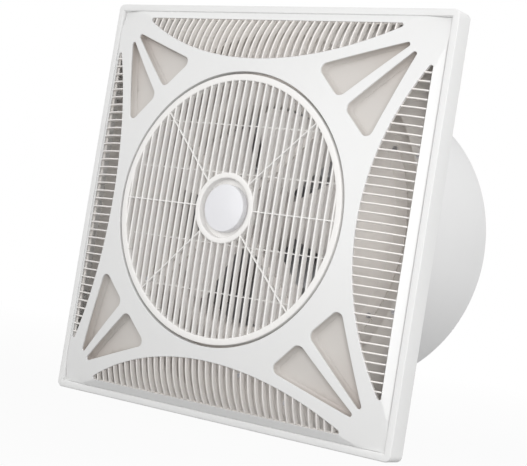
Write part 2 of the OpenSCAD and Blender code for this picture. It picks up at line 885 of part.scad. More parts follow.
// One blade, cut from a curved plate that is tilted about its own radius
module blade() {
    root_r = hub_r - hub_wall / 2;
    intersection() {
        rotate([blade_pitch, 0, 0]) translate([0, 0, -blade_curve_r]) rotate([0, 90, 0]) {
            tube(blade_curve_r + blade_t / 2, blade_curve_r - blade_t / 2, 0, far / 2);
        }
        translate([0, 0, -hub_l]) linear_extrude(2 * hub_l) blade_outline(root_r);
    }
}

// Front view of a blade: a sector with a drawn back leading corner
module blade_outline(root_r) {
    half = blade_span / 2;
    corner = 22;
    intersection() {
        difference() {
            circle(r = blade_tip_r, $fn = fine);
            circle(r = root_r, $fn = fine);
        }
        union() {
            polygon([[0, 0], 2 * blade_tip_r * [cos(half), sin(half)],
                     2 * blade_tip_r * [cos(half / 2 - 4), sin(half / 2 - 4)],
                     2 * blade_tip_r * [1, -tan(half / 2 - 4)]]);
            polygon([[0, 0], 2 * blade_tip_r * [cos(half / 2), sin(half / 2)],
                     2 * blade_tip_r * [1, 0], 2 * blade_tip_r * [cos(half / 2), -sin(half / 2)]]);
            circle(r = blade_tip_r - corner, $fn = fine);
        }
        polygon([[0, 0], 2 * blade_tip_r * [cos(half), sin(half)], 2 * blade_tip_r * [1, 0],
                 2 * blade_tip_r * [cos(half), -sin(half)]]);
    }
}

module impeller() {
    boss_l = 24;
    color([0.88, 0.88, 0.87]) facing() difference() {
        union() {
            difference() {
                union() {
                    translate([0, 0, hub_back_z]) cylinder(r = hub_r, h = hub_l - 5, $fn = fine);
                    translate([0, 0, hub_front_z - 5]) {
                        cylinder(r1 = hub_r, r2 = hub_r - 5, h = 5, $fn = fine);
                    }
                }
                translate([0, 0, hub_back_z - 1]) {
                    cylinder(r = hub_r - hub_wall, h = hub_l - 5 - hub_face_t + 1, $fn = fine);
                }
            }
            translate([0, 0, hub_front_z - boss_l]) cylinder(r = bush_r + 3, h = boss_l - 1);
            for (k = [0 : blade_n - 1]) rotate(360 / blade_n * k) translate([0, 0, blade_z]) blade();
        }
        translate([0, 0, hub_back_z - 1]) cylinder(r = bush_r + 0.05, h = far);
    }
}

module hub_bush() {
    color([0.78, 0.68, 0.42]) facing() tube_small(bush_r, shaft_r + 0.05, hub_front_z - 24, hub_front_z);
}

module tube_small(r_out, r_in, z0, z1) {
    translate([0, 0, z0]) difference() {
        cylinder(r = r_out, h = z1 - z0);
        translate([0, 0, -1]) cylinder(r = r_in, h = z1 - z0 + 2);
    }
}

module impeller_nut() {
    thread_r = shaft_r - 1;
    color([0.8, 0.8, 0.82]) facing() translate([0, 0, hub_front_z + 0.1]) difference() {
        union() {
            cylinder(r = bush_r + 3, h = 1.4);
            cylinder(r = shaft_r + 3, h = 6.5, $fn = 6);
        }
        translate([0, 0, -1]) cylinder(r = thread_r + 0.05, h = 20);
    }
}

/* Fan motor */

module motor_shell() {
    // Cup with its open end at z = 0 and its closed end at z = shell_l
    difference() {
        union() {
            difference() {
                cylinder(r = motor_r, h = shell_l, $fn = fine);
                translate([0, 0, -1]) cylinder(r = motor_r - shell_wall, h = shell_l - shell_wall + 1, $fn = fine);
            }
            translate([0, 0, shell_l - shell_wall - bearing_w]) {
                cylinder(r = bearing_r + 3, h = bearing_w + 0.1);
            }
            round_four() {
                translate([shell_screw_r, 0, 0]) cylinder(r = shell_boss_r, h = 8);
                translate([motor_r - 1, -shell_boss_r, 0]) cube([shell_screw_r - motor_r + 1, 2 * shell_boss_r, 8]);
            }
        }
        translate([0, 0, -1]) cylinder(r = motor_r - shell_wall, h = 9, $fn = fine);
        cylinder(r = shaft_r + 1, h = far);
        cylinder(r = bearing_r + 0.05, h = shell_l - shell_wall);
        round_four() translate([shell_screw_r, 0, 0]) cylinder(r = screw_r + 0.2, h = far, $fn = 24);
        for (k = [0 : 11]) rotate(15 + 30 * k) translate([motor_r - 16, 0, shell_l]) {
            cube([9, 3.5, 3 * shell_wall], center = true);
        }
    }
}

module motor_front_shell() {
    color([0.62, 0.63, 0.65]) facing() translate([0, 0, shell_split_z + seat_gap / 2]) motor_shell();
}

module motor_rear_shell() {
    color([0.62, 0.63, 0.65]) facing() difference() {
        translate([0, 0, shell_split_z - seat_gap / 2]) mirror([0, 0, 1]) motor_shell();
        at_motor_mounts() translate([0, 0, motor_back_z]) screw_hole(6);
    }
}

module shell_screws() {
    color([0.8, 0.8, 0.82]) facing() round_four() {
        translate([shell_screw_r, 0, shell_split_z + 8.2]) screw(15);
    }
}

module stator() {
    color([0.5, 0.5, 0.52]) facing() translate([0, 0, shell_split_z - stator_l / 2]) difference() {
        cylinder(r = stator_r, h = stator_l, $fn = fine);
        translate([0, 0, -1]) cylinder(r = stator_bore_r, h = stator_l + 2, $fn = fine);
        for (k = [0 : 11]) rotate(30 * k) translate([stator_bore_r + 5, -2.5, -1]) cube([10, 5, stator_l + 2]);
    }
}

module windings() {
    coil_h = 7;
    color([0.72, 0.42, 0.22]) facing() for (s = [-1, 1]) {
        translate([0, 0, shell_split_z + s * (stator_l / 2 + coil_h / 2 + seat_gap)]) {
            tube_small(stator_bore_r + 16, stator_bore_r + 4, -coil_h / 2, coil_h / 2);
        }
    }
}

module bearings() {
    color([0.8, 0.81, 0.83]) facing() for (s = [-1, 1]) {
        far_z = shell_split_z + s * (shell_l - shell_wall - bearing_w / 2);
        translate([0, 0, far_z]) difference() {
            tube_small(bearing_r, shaft_r + running_clear, -bearing_w / 2, bearing_w / 2);
            for (t = [-1, 1]) translate([0, 0, t * bearing_w / 2]) {
                tube_small(bearing_r - 2.5, shaft_r + 2.5, -0.6, 0.6);
            }
        }
    }
}

module motor_shaft() {
    color([0.75, 0.76, 0.78]) facing() {
        translate([0, 0, shaft_back_z]) cylinder(r = shaft_r, h = hub_front_z - shaft_back_z - 0.5);
        translate([0, 0, hub_front_z - 1]) cylinder(r = shaft_r - 1, h = shaft_front_z - hub_front_z + 1);
    }
}

module rotor() {
    ring_h = 4;
    color([0.6, 0.6, 0.6]) facing() translate([0, 0, shell_split_z]) difference() {
        union() {
            tube_small(rotor_r, shaft_r + 0.05, -stator_l / 2, stator_l / 2);
            for (s = [-1, 1]) translate([0, 0, s * (stator_l / 2 + ring_h / 2 - 0.1)]) {
                tube_small(rotor_r - 2, rotor_r - 9, -ring_h / 2, ring_h / 2);
            }
        }
        for (k = [0 : 17]) rotate(20 * k) translate([rotor_r, 0, 0]) {
            cube([1, 1.2, stator_l + 1], center = true);
        }
    }
}

/* Motor bracket */

module at_motor_mounts() {
    round_four(45) translate([mount_pcd_r, 0, 0]) children();
}

module motor_bracket() {
    reach = bracket_reach - bracket_t / 2;
    color([0.7, 0.71, 0.73]) facing() {
        translate([0, 0, bracket_z - bracket_t]) linear_extrude(bracket_t) difference() {
            union() {
                circle(r = motor_r - 4, $fn = fine);
                for (a = [45, 135]) rotate(a) square([2 * reach, bracket_arm_w], center = true);
            }
            circle(r = bracket_hole_r);
            at_motor_mounts() circle(r = screw_r + 0.2);
        }
        intersection() {
            tube(bracket_reach, bracket_reach - bracket_t, bracket_z - bracket_foot_l, bracket_z);
            round_four(45) translate([bracket_reach - 12, -bracket_arm_w / 2, -far / 2]) {
                cube([24, bracket_arm_w, far]);
            }
        }
    }
}

module rubber_mounts() {
    color([0.12, 0.12, 0.13]) facing() at_motor_mounts() {
        tube_small(8, screw_r + 0.2, motor_back_z - mount_t + seat_gap, motor_back_z - seat_gap);
    }
}

module motor_screws() {
    color([0.8, 0.8, 0.82]) facing() at_motor_mounts() {
        translate([0, 0, bracket_z - bracket_t - 0.1]) rotate([180, 0, 0]) screw(bracket_t + mount_t + 5.5);
    }
}

/* Rear guard */

module rear_guard() {
    color([0.86, 0.86, 0.86]) facing() translate([0, 0, guard_z]) {
        tube(guard_out_r, guard_in_r, 0, guard_depth);
        intersection() {
            for (k = [-guard_slat_n : guard_slat_n]) translate([0, k * guard_pitch, guard_depth / 2]) {
                rotate([guard_tilt, 0, 0]) cube([far, guard_slat_w, guard_slat_t], center = true);
            }
            translate([0, 0, -far / 2]) cylinder(r = guard_in_r + 1, h = far, $fn = fine);
        }
    }
}

module guard_clips() {
    reach = drum_r - sheet_t - seat_gap;
    width = 14;
    color([0.7, 0.71, 0.73]) facing() translate([0, 0, guard_z]) intersection() {
        difference() {
            tube(reach, guard_in_r + 0.4, -1.8, guard_depth + 1.8);
            tube(guard_out_r + seat_gap, guard_in_r - 1, -seat_gap, guard_depth + seat_gap);
        }
        round_four() translate([0, -width / 2, -far / 2]) cube([far, width, far]);
    }
}

/* Terminal box */

module at_box() {
    rotate(180) translate([0, 0, box_mid_z]) children();
}

module at_box_posts() {
    for (sy = [-1, 1], sz = [-1, 1]) {
        translate([0, sy * (box_w / 2 - post_r), sz * (box_l / 2 - post_r)]) children();
    }
}

module terminal_box() {
    color([0.85, 0.85, 0.84]) facing() at_box() difference() {
        union() {
            difference() {
                translate([drum_r - 8, -box_w / 2, -box_l / 2]) cube([lid_x - drum_r + 8, box_w, box_l]);
                translate([floor_x, box_wall - box_w / 2, box_wall - box_l / 2]) {
                    cube([box_h, box_w - 2 * box_wall, box_l - 2 * box_wall]);
                }
            }
            at_box_posts() translate([floor_x - 1, 0, 0]) rotate([0, 90, 0]) cylinder(r = post_r, h = lid_x - floor_x + 1);
        }
        translate([0, 0, -box_l]) cylinder(r = box_seat_x, h = 2 * box_l, $fn = fine);
        at_box_posts() translate([lid_x, 0, 0]) rotate([0, 90, 0]) screw_hole(12);
        rotate([0, 90, 0]) cylinder(r = 8, h = far);
        at_box_screws() screw_hole(far / 20);
        at_gland() cylinder(r = gland_bore_r + 4.2, h = 20, center = true);
    }
}

module at_gland() {
    translate([drum_r + box_h / 2, 0, -box_l / 2]) children();
}

// Two screws through the floor of the box into the drum, pointing inwards
module at_box_screws() {
    for (s = [-1, 1]) translate([floor_x, 0, s * (box_l / 2 - 14)]) rotate([0, 90, 0]) children();
}

module box_screws() {
    color([0.8, 0.8, 0.82]) facing() at_box() at_box_screws() translate([0, 0, 0.1]) screw(3.2);
}

module terminal_lid() {
    color([0.87, 0.87, 0.86]) facing() at_box() difference() {
        translate([lid_x + seat_gap, -box_w / 2, -box_l / 2]) cube([lid_t - seat_gap, box_w, box_l]);
        at_box_posts() translate([lid_x, 0, 0]) rotate([0, 90, 0]) screw_hole(8);
    }
}

module lid_screws() {
    color([0.8, 0.8, 0.82]) facing() at_box() at_box_posts() {
        translate([box_top_x + 0.1, 0, 0]) rotate([0, 90, 0]) screw(lid_t + 7);
    }
}

module terminal_block() {
    color([0.9, 0.9, 0.87]) facing() at_box() translate([floor_x + seat_gap, block_y, -20]) difference() {
        translate([0, -8, -6]) cube([16, 16, 42]);
        for (k = [0 : 2]) translate([16, 0, k * 13 + 1.5]) rotate([0, 90, 0]) cylinder(r = 2.6, h = 8, center = true);
    }
}

module capacitor() {
    color([0.2, 0.22, 0.28]) facing() at_box() translate([floor_x + cap_can_r + seat_gap, -box_w / 2 + box_wall + cap_can_r + 1, 0]) {
        translate([0, 0, -cap_can_l / 2]) cylinder(r = cap_can_r, h = cap_can_l);
        for (s = [-1, 1]) translate([s * 5, 0, cap_can_l / 2]) cube([1, 6, 16], center = true);
    }
}

module capacitor_clip() {
    clip_t = 1;
    color([0.75, 0.76, 0.78]) facing() at_box() translate([floor_x + cap_can_r + seat_gap, -box_w / 2 + box_wall + cap_can_r + 1, 0]) {
        difference() {
            translate([0, 0, -6]) cylinder(r = cap_can_r + clip_t + 0.1, h = 12);
            translate([0, 0, -7]) cylinder(r = cap_can_r + 0.1, h = 14);
            translate([-far - cap_can_r / 2, -far, -far]) cube([far, 2 * far, 2 * far]);
            translate([-far, -far - 0.6 * cap_can_r, -far]) cube([2 * far, far, 2 * far]);
        }
    }
}

module cable_gland() {
    color([0.15, 0.15, 0.16]) facing() at_box() at_gland() difference() {
        union() {
            translate([0, 0, -8]) cylinder(r = gland_bore_r + 8, h = 7.8, $fn = 6);
            translate([0, 0, -20]) cylinder(r1 = gland_bore_r + 3.5, r2 = gland_bore_r + 6, h = 12.5);
            translate([0, 0, -1]) cylinder(r = gland_bore_r + 4, h = 10);
        }
        cylinder(r = gland_bore_r, h = 60, center = true);
    }
}

module gland_nut() {
    color([0.15, 0.15, 0.16]) facing() at_box() at_gland() difference() {
        translate([0, 0, box_wall + 0.2]) cylinder(r = gland_bore_r + 7.5, h = 4, $fn = 6);
        cylinder(r = gland_bore_r + 4.15, h = 60, center = true);
    }
}

outer_frame();
face_panel();
window_trays();
side_grille_right();
side_grille_left();
side_grille_top();
side_grille_bottom();
louver_carrier();
gear_motor();
gear_motor_screws();
carrier_screws();
louver();
louver_shaft();
louver_screw();
hub_cap();
back_plate();
back_plate_screws();
pan();
pan_screws();
inlet_ring();
inlet_ring_screws();
drum();
drum_screws();
motor_bracket();
rubber_mounts();
motor_screws();
motor_front_shell();
motor_rear_shell();
shell_screws();
stator();
windings();
bearings();
motor_shaft();
rotor();
impeller();
hub_bush();
impeller_nut();
rear_guard();
guard_clips();
terminal_box();
box_screws();
terminal_lid();
lid_screws();
terminal_block();
capacitor();
capacitor_clip();
cable_gland();
gland_nut();
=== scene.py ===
"""Square ceiling exhaust fan: the looks that go over the packed CAD frame.

Pieces are drawn lying on their back, in metres: x to the right, y up the panel and z out of
the front. PLACE turns them into the frame's axes, where the front looks along -Y.
"""
import math

import bmesh
import bpy
from bpy.props import FloatProperty, FloatVectorProperty, IntProperty, PointerProperty
from mathutils import Matrix, Vector
from mathutils.geometry import delaunay_2d_cdt
from mathutils.kdtree import KDTree


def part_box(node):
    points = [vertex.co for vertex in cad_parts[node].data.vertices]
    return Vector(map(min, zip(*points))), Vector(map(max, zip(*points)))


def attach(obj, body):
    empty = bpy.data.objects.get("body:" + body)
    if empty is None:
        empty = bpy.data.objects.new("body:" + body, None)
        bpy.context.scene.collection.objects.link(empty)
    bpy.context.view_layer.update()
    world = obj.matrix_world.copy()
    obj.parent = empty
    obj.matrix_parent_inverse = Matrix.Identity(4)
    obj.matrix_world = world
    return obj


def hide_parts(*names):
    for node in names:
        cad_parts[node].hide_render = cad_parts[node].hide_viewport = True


bl_info = {
    "name": "Ceiling exhaust fan",
    "version": (1, 0, 0),
    "blender": (4, 5, 0),
    "location": "View3D > Sidebar > Fan",
    "description": "Builds the panel, louver, grilles and body of a square ceiling fan",
    "category": "Object",
}

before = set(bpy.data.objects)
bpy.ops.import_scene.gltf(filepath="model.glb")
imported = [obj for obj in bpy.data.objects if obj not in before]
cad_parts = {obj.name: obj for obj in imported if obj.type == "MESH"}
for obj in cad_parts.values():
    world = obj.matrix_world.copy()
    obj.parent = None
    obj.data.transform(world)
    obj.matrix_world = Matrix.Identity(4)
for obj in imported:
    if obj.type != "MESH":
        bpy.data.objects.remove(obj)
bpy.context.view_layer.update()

PLACE = Matrix(((1, 0, 0, 0), (0, 0, -1, 0), (0, 1, 0, 0), (0, 0, 0, 1)))


def reach_x(node):
    """How far a CAD node reaches from the axis, along X."""
    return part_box(node)[1].x


def front_z(node):
    """Height of a CAD node's front in drawing axes."""
    return -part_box(node)[0].y


def back_z(node):
    """Height of a CAD node's back in drawing axes."""
    return -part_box(node)[1].y


# Sizes and colours


def length(name, text, value):
    return FloatProperty(name=name, description=text, default=value, min=0.0, precision=5,
                         unit="LENGTH")


def angle(name, text, degrees):
    return FloatProperty(name=name, description=text, default=math.radians(degrees),
                         subtype="ANGLE")


def colour(name, text, rgb):
    return FloatVectorProperty(name=name, description=text, default=rgb, size=3, min=0.0,
                               max=1.0, subtype="COLOR")


class FAN_PG_panel(bpy.types.PropertyGroup):
    """Square front, domed panel and corner windows"""

    corner_r: length("Corner radius", "Radius of the square front's corners", 0.009)
    rim_width: length("Rim width", "Width of the flat rim", 0.010)
    rim_bevel: length("Rim bevel", "Rounding of the rim's outer edge", 0.0018)
    rim_groove: length("Rim groove", "Open groove between rim and panel", 0.0009)
    groove_depth: length("Groove depth", "Depth of that groove", 0.0014)
    dome_r: length("Dome radius", "Radius of the dome", 1.4)
    dome_rise: length("Dome rise", "Height of the dome above the rim", 0.053)
    web_t: length("Wall", "Wall thickness of the panel", 0.0025)
    band_w: length("Band width", "Width of the sloping band", 0.0115)
    band_slope: angle("Band slope", "Slope of the band", 38)
    hole_r: length("Hole radius", "Radius of the louver's hole", 0.194)
    hole_collar: length("Collar depth", "Depth of the collar round the hole", 0.014)
    edge_r: length("Edge rounding", "Rounding of the panel's edges", 0.0008)
    crease_r: length("Crease rounding", "Softness of the panel's creases", 0.0008)
    window_depth: length("Window depth", "Depth of the corner windows", 0.013)
    mesh_step: length("Mesh step", "Distance between points of the panel's mesh", 0.0065)


class FAN_PG_inlet(bpy.types.PropertyGroup):
    """Side inlets and their slats"""

    width: length("Inlet width", "Width of a side inlet at its middle", 0.0615)
    half_l: length("Half length", "Half length of a side inlet", 0.2285)
    tip_r: length("Tip radius", "Radius at the inlet's tips", 0.003)
    pitch: length("Slat pitch", "Distance from slat to slat", 0.012)
    slat_t: length("Slat thickness", "Thickness of a slat", 0.0022)
    slat_d: length("Slat depth", "Depth of a slat", 0.009)
    bow_r: length("Slat bow", "Radius of the curve along a slat", 0.120)
    rim_w: length("Rim width", "Width of the rim behind the panel", 0.005)
    count: IntProperty(name="Slats", description="Slats in one side inlet", default=36, min=2)


class FAN_PG_louver(bpy.types.PropertyGroup):
    """Turning louver"""

    ring_w: length("Ring width", "Width of the outer ring", 0.0095)
    ring_d: length("Ring depth", "Depth of the outer ring", 0.013)
    crown: length("Crown", "Height of the middle above the ring", 0.005)
    pitch: length("Slat pitch", "Distance from slat to slat", 0.01185)
    slat_t: length("Slat thickness", "Thickness of a slat", 0.0028)
    slat_d: length("Slat depth", "Depth of a slat", 0.0095)
    rib_t: length("Rib thickness", "Thickness of the ribs", 0.0018)
    rib_d: length("Rib depth", "Depth of the ribs", 0.005)
    collar_r: length("Collar radius", "Outside radius of the hub collar", 0.050)
    collar_bore_r: length("Recess radius", "Radius of the recess in the collar", 0.042)
    collar_recess: length("Recess depth", "Depth of that recess", 0.011)
    side_slats: IntProperty(name="Slats", description="Slats on each side of the middle",
                            default=15, min=1)


class FAN_PG_body(bpy.types.PropertyGroup):
    """Drum, inlet ring, impeller and guard"""

    sheet_t: length("Sheet", "Thickness of the sheet steel", 0.0015)
    throat_r: length("Throat radius", "Inside radius of the inlet ring", 0.160)
    lip_r: length("Lip radius", "Radius of the inlet ring's lip", 0.012)
    ring_t: length("Ring wall", "Wall thickness of the inlet ring", 0.002)
    blade_count: IntProperty(name="Blades", description="Number of blades", default=5, min=2)
    blade_pitch: angle("Blade pitch", "Angle of the blades", 21)
    blade_span: angle("Blade span", "Angle that a blade covers", 50)
    blade_curve_r: length("Blade curve", "Curvature radius of a blade", 0.240)
    blade_t: length("Blade thickness", "Thickness of a blade", 0.0024)
    hub_r: length("Hub radius", "Outside radius of the impeller hub", 0.052)
    guard_pitch: length("Guard pitch", "Distance from slat to slat of the outlet guard", 0.060)
    guard_slat_w: length("Guard slat width", "Width of a slat of the outlet guard", 0.070)
    guard_slat_t: length("Guard slat", "Thickness of a slat of the outlet guard", 0.0015)
    guard_ring_t: length("Guard ring", "Wall thickness of the outlet guard's ring", 0.0025)
    guard_tilt: angle("Guard tilt", "Slope of the outlet guard's slats", 30)


class FAN_PG_finish(bpy.types.PropertyGroup):
    """Colours of the finishes"""

    panel: colour("Panel", "White plastic of the front", (0.82, 0.82, 0.815))
    louver: colour("Louver", "White plastic of the louver", (0.90, 0.885, 0.865))
    grille: colour("Grille", "White plastic of the side inlets", (0.90, 0.87, 0.84))
    # The pockets' colour is their plastic darkened by painted shade of the deep recess, and the
    # tip colour is more painted shade towards their narrow ends
    tray: colour("Pockets", "Plastic of the corner windows' pockets", (0.64, 0.61, 0.58))
    tray_tip: colour("Pocket tip shade", "Pockets at their narrow outer ends", (0.56, 0.51, 0.475))
    cap: colour("Cap", "Plastic of the hub cap", (0.82, 0.82, 0.845))
    # Inner plastic, blade and lining are lighter and warmer than the white they stand for: painted
    # warm bounce light inside the body
    inner: colour("Inner plastic", "Plastic behind the louver", (0.90, 0.86, 0.825))
    blade: colour("Blade", "Plastic of the impeller", (0.87, 0.84, 0.815))
    sheet: colour("Painted sheet", "White paint of drum and outlet guard", (0.80, 0.80, 0.80))
    lining: colour("Lining", "Paint of pan and back plate", (0.91, 0.875, 0.84))
    # Zinc grey tinted slightly warm: painted warm shade where the bracket shows between the blades
    zinc: colour("Zinc", "Galvanized sheet", (0.62, 0.60, 0.585))
    screw: colour("Screw", "Plated screws", (0.66, 0.66, 0.68))
    steel: colour("Steel", "Ground steel", (0.62, 0.63, 0.65))
    alloy: colour("Alloy", "Cast alloy of the motor", (0.48, 0.49, 0.51))
    core: colour("Core", "Laminated steel of stator and rotor", (0.2, 0.2, 0.21))
    brass: colour("Brass", "Turned brass", (0.72, 0.56, 0.27))
    copper: colour("Copper", "Varnished copper wire", (0.60, 0.27, 0.12))
    rubber: colour("Rubber", "Black rubber", (0.03, 0.03, 0.032))
    black: colour("Black plastic", "Plastic of the gland", (0.035, 0.035, 0.037))
    box: colour("Box", "Plastic of the terminal box", (0.78, 0.78, 0.77))
    can: colour("Capacitor", "Plastic of the capacitor", (0.03, 0.035, 0.055))


GROUPS = {"fan_panel": FAN_PG_panel, "fan_inlet": FAN_PG_inlet, "fan_louver": FAN_PG_louver,
          "fan_body": FAN_PG_body, "fan_finish": FAN_PG_finish}


# Node helpers


class Nodes:
    """Short way to add and link nodes in one tree."""

    def __init__(self, tree):
        self.tree = tree

    def feed(self, socket, value):
        if isinstance(value, bpy.types.NodeSocket):
            self.tree.links.new(value, socket)
        elif value is not None:
            socket.default_value = value

    def add(self, kind, inputs=None, **settings):
        node = self.tree.nodes.new(kind)
        for key, value in settings.items():
            setattr(node, key, value)
        for key, value in (inputs or {}).items():
            self.feed(node.inputs[key], value)
        return node

    def math(self, operation, *values):
        node = self.add("ShaderNodeMath", operation=operation)
        for socket, value in zip(node.inputs, values):
            self.feed(socket, value)
        return node.outputs[0]

    def root(self, value):
        return self.math("SQRT", self.math("MAXIMUM", value, 0.0))

    def square(self, value):
        return self.math("MULTIPLY", value, value)

    def join(self, x, y, z):
        return self.add("ShaderNodeCombineXYZ", {"X": x, "Y": y, "Z": z}).outputs[0]

    def place(self):
        """Position of each point, as its three parts."""
        at = self.add("GeometryNodeInputPosition").outputs[0]
        return self.add("ShaderNodeSeparateXYZ", {"Vector": at}).outputs


def made_once(build):
    """Lets a function build its node group, named after it, the first time it is asked."""
    def give():
        name = build.__name__
        if name not in bpy.data.node_groups:
            build(name)
        return bpy.data.node_groups[name]
    return give


# Materials


def effect_group(name, inputs, outputs):
    """A new shader node group with named inputs and outputs."""
    group = bpy.data.node_groups.new(name, "ShaderNodeTree")
    for label, kind, value in inputs:
        socket = group.interface.new_socket(label, in_out="INPUT", socket_type=kind)
        socket.default_value = value
    for label, kind in outputs:
        group.interface.new_socket(label, in_out="OUTPUT", socket_type=kind)
    return group


@made_once
def moulded_skin(name):
    """Moulded plastic or paint: faint flow clouds, fine grain and painted shade in its nooks."""
    group = effect_group(
        name,
        [("Colour", "NodeSocketColor", (0.8, 0.8, 0.8, 1)), ("Clouds", "NodeSocketFloat", 0.03),
         ("Cloud scale", "NodeSocketFloat", 14.0), ("Grain scale", "NodeSocketFloat", 900.0),
         ("Grain height", "NodeSocketFloat", 0.02), ("Roughness", "NodeSocketFloat", 0.4),
         ("Soiling", "NodeSocketFloat", 0.06)],
        [("Colour", "NodeSocketColor"), ("Roughness", "NodeSocketFloat"),
         ("Normal", "NodeSocketVector")])
    n = Nodes(group)
    given = n.add("NodeGroupInput").outputs
    place = n.add("ShaderNodeTexCoord").outputs["Object"]
    clouds = n.add("ShaderNodeTexNoise", {"Vector": place, "Scale": given["Cloud scale"],
                                          "Detail": 3.0, "Roughness": 0.55}).outputs[0]
    grain = n.add("ShaderNodeTexNoise", {"Vector": place, "Scale": given["Grain scale"],
                                         "Detail": 2.0, "Roughness": 0.6}).outputs[0]
    # Painted shade: ambient occlusion darkens the colour in nooks, creases and between parts
    nook = n.add("ShaderNodeAmbientOcclusion", {"Distance": 0.012}, samples=6).outputs["AO"]
    swing = n.math("SUBTRACT", clouds, 0.5)
    shade = n.math("ADD", 1.0, n.math("MULTIPLY", swing, given["Clouds"]))
    # The painted shade is taken off the tone by the share given to the group
    painted_shade = n.math("MULTIPLY", n.math("SUBTRACT", 1.0, nook), given["Soiling"])
    shade = n.math("SUBTRACT", shade, painted_shade)
    tint = n.add("ShaderNodeVectorMath", {0: given["Colour"]}, operation="SCALE")
    n.feed(tint.inputs["Scale"], shade)
    rough = n.math("ADD", given["Roughness"], n.math("MULTIPLY", swing, 0.10))
    bump = n.add("ShaderNodeBump", {"Strength": given["Grain height"], "Distance": 0.0004,
                                    "Height": grain}).outputs[0]
    n.add("NodeGroupOutput", {"Colour": tint.outputs[0], "Roughness": rough, "Normal": bump})


@made_once
def worked_metal(name):
    """Metal sheet or machined steel: streaks along one axis and blotches of plating."""
    group = effect_group(
        name,
        [("Colour", "NodeSocketColor", (0.6, 0.6, 0.6, 1)), ("Blotch", "NodeSocketFloat", 0.12),
         ("Blotch scale", "NodeSocketFloat", 60.0), ("Streak", "NodeSocketFloat", 0.06),
         ("Streak scale", "NodeSocketVector", (40.0, 900.0, 900.0)),
         ("Roughness", "NodeSocketFloat", 0.35), ("Height", "NodeSocketFloat", 0.05)],
        [("Colour", "NodeSocketColor"), ("Roughness", "NodeSocketFloat"),
         ("Normal", "NodeSocketVector")])
    n = Nodes(group)
    given = n.add("NodeGroupInput").outputs
    place = n.add("ShaderNodeTexCoord").outputs["Object"]
    cells = n.add("ShaderNodeTexVoronoi", {"Vector": place, "Scale": given["Blotch scale"],
                                           "Randomness": 1.0}).outputs["Color"]
    cells = n.add("ShaderNodeSeparateColor", {"Color": cells}).outputs[0]
    long_way = n.add("ShaderNodeVectorMath", {0: place, 1: given["Streak scale"]},
                     operation="MULTIPLY").outputs[0]
    streak = n.add("ShaderNodeTexNoise", {"Vector": long_way, "Scale": 1.0,
                                          "Detail": 2.0}).outputs[0]
    blotch = n.math("MULTIPLY", n.math("SUBTRACT", cells, 0.5), given["Blotch"])
    lines = n.math("MULTIPLY", n.math("SUBTRACT", streak, 0.5), given["Streak"])
    shade = n.math("ADD", 1.0, n.math("ADD", blotch, lines))
    tint = n.add("ShaderNodeVectorMath", {0: given["Colour"]}, operation="SCALE")
    n.feed(tint.inputs["Scale"], shade)
    rough = n.math("ADD", given["Roughness"], n.math("ADD", blotch, lines))
    bump = n.add("ShaderNodeBump", {"Strength": given["Height"], "Distance": 0.0003,
                                    "Height": streak}).outputs[0]
    n.add("NodeGroupOutput", {"Colour": tint.outputs[0], "Roughness": rough, "Normal": bump})


def material(name, group, rgb, coat=0.0, coat_rough=0.2, metallic=0.0, **values):
    """A material whose colour, roughness and normal come from one effect group."""
    name = "finish_" + name
    made = bpy.data.materials.get(name)
    if made:
        return made
    made = bpy.data.materials.new(name)
    made.use_nodes = True
    made.diffuse_color = (*rgb, 1)
    n = Nodes(made.node_tree)
    shader = made.node_tree.nodes["Principled BSDF"]
    skin = n.add("ShaderNodeGroup", node_tree=group)
    skin.inputs["Colour"].default_value = (*rgb, 1)
    for key, value in values.items():
        skin.inputs[key.replace("_", " ").capitalize()].default_value = value
    n.feed(shader.inputs["Base Color"], skin.outputs["Colour"])
    n.feed(shader.inputs["Roughness"], skin.outputs["Roughness"])
    n.feed(shader.inputs["Normal"], skin.outputs["Normal"])
    shader.inputs["Metallic"].default_value = metallic
    shader.inputs["Coat Weight"].default_value = coat
    shader.inputs["Coat Roughness"].default_value = coat_rough
    return made


def shade_outwards(made, rgb, near, far):
    """Painted shade: lets a finish run to a second, darker colour between two distances from the
    fan's axis.
    """
    n = Nodes(made.node_tree)
    skin = next(x for x in made.node_tree.nodes if x.type == "GROUP")
    if skin.inputs["Colour"].is_linked:
        return made
    place = n.add("ShaderNodeTexCoord").outputs["Object"]
    flat = n.add("ShaderNodeVectorMath", {0: place, 1: (1.0, 0.0, 1.0)}, operation="MULTIPLY")
    away = n.add("ShaderNodeVectorMath", {0: flat.outputs[0]}, operation="LENGTH")
    share = n.add("ShaderNodeMapRange", {"Value": away.outputs["Value"], "From Min": near,
                                         "From Max": far}).outputs[0]
    inner = tuple(skin.inputs["Colour"].default_value)
    blend = n.add("ShaderNodeMix", {"Factor": share, "A": inner, "B": (*rgb, 1)},
                  data_type="RGBA").outputs["Result"]
    n.feed(skin.inputs["Colour"], blend)
    return made


# Distances from the axis between which painted shade darkens the pockets towards their narrow tips
TIP_SHADE_FROM, TIP_SHADE_TO = 0.26, 0.36


